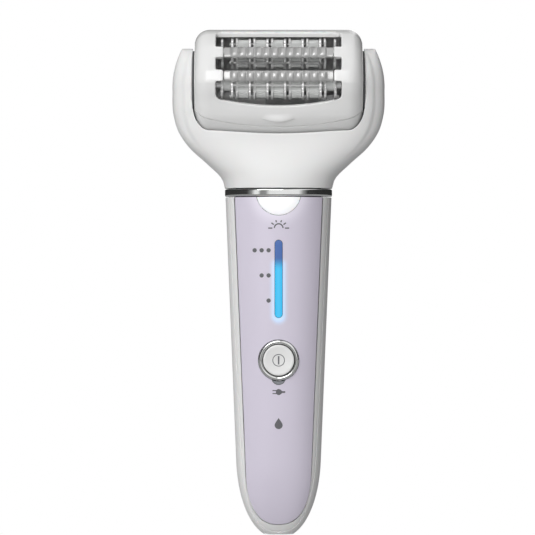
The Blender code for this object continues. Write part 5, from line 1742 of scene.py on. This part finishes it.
class EPILATOR_OT_rotors(bpy.types.Operator):
    """Each rotor's fixed plates, its ribbed blocks, and the comb of sliding plates"""

    bl_idname = "epilator.rotors"
    bl_label = "Rotors and combs"

    def execute(self, context):
        for name, axis in ROTOR_AXES.items():
            self.plates(name, axis)
            self.blocks(name, axis)
            self.comb(name, axis)
        return {"FINISHED"}

    def plates(self, name, axis):
        turns = full_turn(128)
        radii = lobed_radius(turns, ROTOR_PHASES[name], ROTOR_VALLEY, ROTOR_TIP)
        thick = sizes().plate_thickness
        skin = Skin()
        for x in plate_places():
            disc(skin, axis, x + PLATE_SIDE, x + PLATE_SIDE + thick, radii, turns, 0.2 * MM)
        for x in (plate_places()[0] + END_PLATES[0], plate_places()[-1] + END_PLATES[1]):
            disc(skin, axis, x, x + thick, radii * END_PLATE_SHARE, turns, 0.2 * MM)
        low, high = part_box(f"rotor_{name}")
        disc(skin, axis, low.x, high.x, SHAFT, full_turn(24))
        piece(f"{name}_plates", skin, name + "_rotor", "blade_steel", [f"rotor_{name}"])

    def blocks(self, name, axis):
        turns = full_turn(240)
        radii = lobed_radius(turns, ROTOR_PHASES[name], ROTOR_VALLEY, BLOCK_TIP, 0.28 * MM)
        thick, pitch = sizes().plate_thickness, sizes().plate_pitch
        skin = Skin()
        for x in plate_places()[:-1]:
            start = x + PLATE_SIDE + thick
            end = x + pitch - PLATE_SIDE - thick - GAP / 3
            disc(skin, axis, start - 0.01 * MM, end, radii, turns, 0.15 * MM)
        start, end = plate_places()[0] - 4.3 * MM, plate_places()[-1] + 4.3 * MM
        disc(skin, axis, start, end, CORE - 0.02 * MM, full_turn(32))
        piece(f"{name}_blocks", skin, name + "_rotor", "comb_plastic")

    def comb(self, name, axis):
        turns = full_turn(128)
        radii = lobed_radius(turns, ROTOR_PHASES[name], COMB_VALLEY, ROTOR_TIP - 0.1 * MM)
        hole = np.full(turns.shape, CORE + 0.25 * MM)
        thick, edge = sizes().plate_thickness, 0.08 * MM
        skin = Skin()
        for x in plate_places():
            high = x - PLATE_SIDE
            low = high - thick
            stations = ((low + edge, radii), (high - edge, radii), (high, radii - edge), (high, hole))
            stations += ((low, hole), (low, radii - edge))
            rings = [rotor_ring(axis, station, turns, radius) for station, radius in stations]
            skin.sheet(np.stack(rings), wrap_rows=True, wrap_columns=True)
        low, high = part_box(f"tweezer_comb_{name}")
        for k in range(4):
            turn = math.radians(ROTOR_PHASES[name] + 45 + 90 * k)
            centre = axis + ROD_CIRCLE * np.array([0.0, -math.sin(turn), math.cos(turn)])
            disc(skin, centre, low.x, high.x, ROD_RADIUS, full_turn(8), 0.05 * MM)
        piece(f"{name}_comb", skin, name + "_comb", "blade_steel", [f"tweezer_comb_{name}"])


# ---------------------------------------------------------------- details


def stroke(points, half):
    """A line of (x, z) points given a half width at each point, as a grid three points across."""
    points = np.asarray(points, dtype=float)
    along = np.gradient(points, axis=0)
    along /= np.linalg.norm(along, axis=1, keepdims=True)
    square = np.stack([-along[:, 1], along[:, 0]], axis=1) * np.broadcast_to(half, len(points))[:, None]
    return np.stack([points - square, points, points + square], axis=1)


def line(start, end, half, count=9):
    return stroke(np.linspace(start, end, count), half)


def dot(x, z, radius):
    """A disc, as a short line: its half width is the root of r squared less the distance squared."""
    way = radius * np.cos(np.linspace(np.pi, 0, 17))
    points = np.stack([np.full(17, x), z + way], axis=1)
    return stroke(points, np.sqrt(np.maximum(radius**2 - way**2, (0.01 * MM) ** 2)))


def printed(skin, grid, front, height=PRINT_HEIGHT):
    """Lays a grid of (x, z) on a surface that is given as y for each x and z."""
    x, z = grid[..., 0], grid[..., 1]
    y = front(x, z)
    skin.slab(grid_of(x, y - height, z), grid_of(x, y + PRINT_HEIGHT / 2, z))


class EPILATOR_OT_symbols(bpy.types.Operator):
    """The printed symbols: lamp, speed dots, power and plug, and a drop for use with water"""

    bl_idname = "epilator.symbols"
    bl_label = "Printed symbols"

    def execute(self, context):
        symbols = {"lamp": self.lamp(), "dots": self.dots(), "plug": self.plug(), "drop": self.drop()}
        for name, grids in symbols.items():
            skin = Skin()
            for grid in grids:
                printed(skin, grid, handle_front)
            piece(name + "_symbol", skin, "handle", "print_ink")
        skin = Skin()
        ring = arc((0.0, BUTTON_Z), 1.95 * MM, 0, 360, 65)
        printed(skin, stroke(ring, 0.13 * MM), cap_face)
        printed(skin, line((0.0, BUTTON_Z - 1.4 * MM), (0.0, BUTTON_Z + 1.4 * MM), 0.25 * MM), cap_face)
        piece("power_symbol", skin, "button", "print_ink")
        return {"FINISHED"}

    def lamp(self):
        """Half a circle over the light bar, with a ray to each side and four above."""
        centre = np.array([0.0, BAR_HIGH.z + SYMBOL_RISE])
        half = 0.21 * MM
        grids = [stroke(arc(centre, 1.45 * MM, 0, 180, 25), half)]
        rays = ((0, 2.1, 3.5), (36, 2.0, 3.0), (70, 2.1, 2.8))
        rays += tuple((180 - angle, start, end) for angle, start, end in rays[::-1])
        for angle, start, end in rays:
            way = np.array([math.cos(math.radians(angle)), math.sin(math.radians(angle))])
            grids.append(line(centre + start * MM * way, centre + end * MM * way, half))
        return grids

    def dots(self):
        """Three, two and one dots beside the light bar."""
        pitch_x, pitch_z, radius = 2.33 * MM, 8.4 * MM, 0.72 * MM
        first_x, first_z = -3.35 * MM, BAR_HIGH.z - 3.4 * MM
        return [
            dot(first_x - k * pitch_x, first_z - row * pitch_z, radius)
            for row in range(3)
            for k in range(3 - row)
        ]

    def plug(self):
        """Two prongs, a body that tapers back by a cosine, and a short cable."""
        z = LAMP_LOW.z - 2.5 * MM
        way = np.linspace(-0.9, 1.15, 25) * MM
        rounded_end = np.sqrt(np.clip(1 - (way / (0.92 * MM)) ** 2, 0, 1))
        swell = np.where(way < 0, rounded_end, np.cos(way / MM * 1.05))
        body = stroke(np.stack([way, np.full(25, z)], axis=1), 1.02 * MM * np.maximum(swell, 0.1))
        levels = [z + k * 0.5 * MM for k in (-1, 1)]
        prongs = [line((-2.05 * MM, level), (-0.6 * MM, level), 0.17 * MM) for level in levels]
        return [body, *prongs, line((0.8 * MM, z), (2.2 * MM, z), 0.31 * MM)]

    def drop(self):
        """A drop: a half circle below, whose half width falls to a point by two powers above."""
        middle, radius, rise = 37.2 * MM, 1.35 * MM, 2.4 * MM
        below = -np.cos(np.linspace(0, np.pi / 2, 12)) * radius
        way = np.concatenate([below, np.linspace(0, rise, 14)[1:]])
        low = np.sqrt(np.clip(radius**2 - way**2, 0, None))
        half = np.where(way < 0, low, radius * (1 - (way / rise) ** 1.5) ** 1.2)
        return [stroke(np.stack([np.zeros(25), middle + way], axis=1), np.maximum(half, 0.01 * MM))]


class EPILATOR_OT_arm_details(bpy.types.Operator):
    """The two raised release marks on the neck, and dark discs that fill the gaps between the arms and the
    head as painted shade
    """

    bl_idname = "epilator.arm_details"
    bl_label = "Release marks and shadow pads"

    def execute(self, context):
        low, high = np.array([29.4, 141.9]) * MM, np.array([31.6, 143.8]) * MM
        middle, reach = (low + high) / 2, (high - low) / 2
        for side, way in (("left", -1.0), ("right", 1.0)):
            along = np.sin(np.linspace(-np.pi / 2, np.pi / 2, 25))
            points = np.stack([way * (middle[0] + reach[0] * along), np.full(25, middle[1])], axis=1)
            half = reach[1] * np.maximum((1 - np.abs(along) ** 5) ** (1 / 5), 0.01)
            skin = Skin()
            printed(skin, stroke(points, half), lambda x, z: -neck_depth(x, z), 0.16 * MM)
            piece(f"release_mark_{side}", skin, "handle", "white_plastic")
            # painted shade: a dark disc fills the gap between the arm and the head's end
            inner, outer = HEAD_END + 0.16 * MM, ARM_INNER + 0.02 * MM
            profile = [(PAD_RADIUS, inner), (PAD_RADIUS, outer)]
            skin = Skin()
            skin.tube(turned(profile, PIVOT, [way, 0, 0], 96))
            piece(f"shadow_pad_{side}", skin, "handle", "grey_rubber")
        return {"FINISHED"}


# the frame's own nodes that stay as they are, by the finish that each group takes
NODE_FINISHES = {
    "machine_steel": (
        ["frame_screw_lower", "frame_screw_upper", "inlet_pin_left", "inlet_pin_right", "neck_screw_left"]
        + ["neck_screw_right", "pivot_pin_left", "pivot_pin_right", "motor_case", "gear_pin"]
        + ["battery_tab_top", "battery_tab_bottom"]
    ),
    "gear_plastic": (
        ["rotor_gear_rear", "rotor_gear_front", "centre_gear", "pivot_bush_left", "pivot_bush_right"]
    ),
    "black_plastic": ["tact_switch", "inner_frame", "inlet_socket", "motor_lead"],
    "silver_plastic": ["chassis_left", "chassis_right"],
    "clear_plastic": ["lamp_led", "charge_led", "speed_led_1", "speed_led_2", "speed_led_3"],
    "grey_rubber": ["collar_seal", "button_seal"],
    "board_green": ["main_board"],
    "cell_wrap": ["battery_cell"],
    "brass": ["motor_pinion"],
}


class EPILATOR_OT_inner_finishes(bpy.types.Operator):
    """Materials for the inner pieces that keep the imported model's own shapes"""

    bl_idname = "epilator.inner_finishes"
    bl_label = "Inner finishes"

    def execute(self, context):
        for finish, names in NODE_FINISHES.items():
            for name in names:
                node = frame["nodes"][name]
                node.data.materials.clear()
                node.data.materials.append(material(finish))
        return {"FINISHED"}


class EPILATOR_PT_panel(bpy.types.Panel):
    """The sizes, the colours and one button for each group of pieces"""

    bl_idname = "EPILATOR_PT_panel"
    bl_label = "Epilator"
    bl_space_type = "VIEW_3D"
    bl_region_type = "UI"
    bl_category = "Epilator"

    def draw(self, context):
        for group in (context.scene.epilator_sizes, context.scene.epilator_colours):
            for name in group.__annotations__:
                self.layout.prop(group, name)
        for operator in OPERATORS:
            self.layout.operator(operator.bl_idname)


OPERATORS = (
    EPILATOR_OT_stage,
    EPILATOR_OT_rear_casing,
    EPILATOR_OT_front_rim,
    EPILATOR_OT_front_panel,
    EPILATOR_OT_collar,
    EPILATOR_OT_lights,
    EPILATOR_OT_button,
    EPILATOR_OT_neck,
    EPILATOR_OT_head_base,
    EPILATOR_OT_head_cap,
    EPILATOR_OT_guards,
    EPILATOR_OT_rotors,
    EPILATOR_OT_symbols,
    EPILATOR_OT_arm_details,
    EPILATOR_OT_inner_finishes,
)
CLASSES = (EpilatorSizes, EpilatorColours, *OPERATORS, EPILATOR_PT_panel)


def register():
    for item in CLASSES:
        bpy.utils.register_class(item)
    bpy.types.Scene.epilator_sizes = bpy.props.PointerProperty(type=EpilatorSizes)
    bpy.types.Scene.epilator_colours = bpy.props.PointerProperty(type=EpilatorColours)


def unregister():
    del bpy.types.Scene.epilator_colours
    del bpy.types.Scene.epilator_sizes
    for item in reversed(CLASSES):
        bpy.utils.unregister_class(item)


def main():
    """Builds every piece around the frame."""
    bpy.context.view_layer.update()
    register()
    for operator in OPERATORS:
        _, short_name = operator.bl_idname.split(".")
        getattr(bpy.ops.epilator, short_name)()


if __name__ == "__main__":
    main()
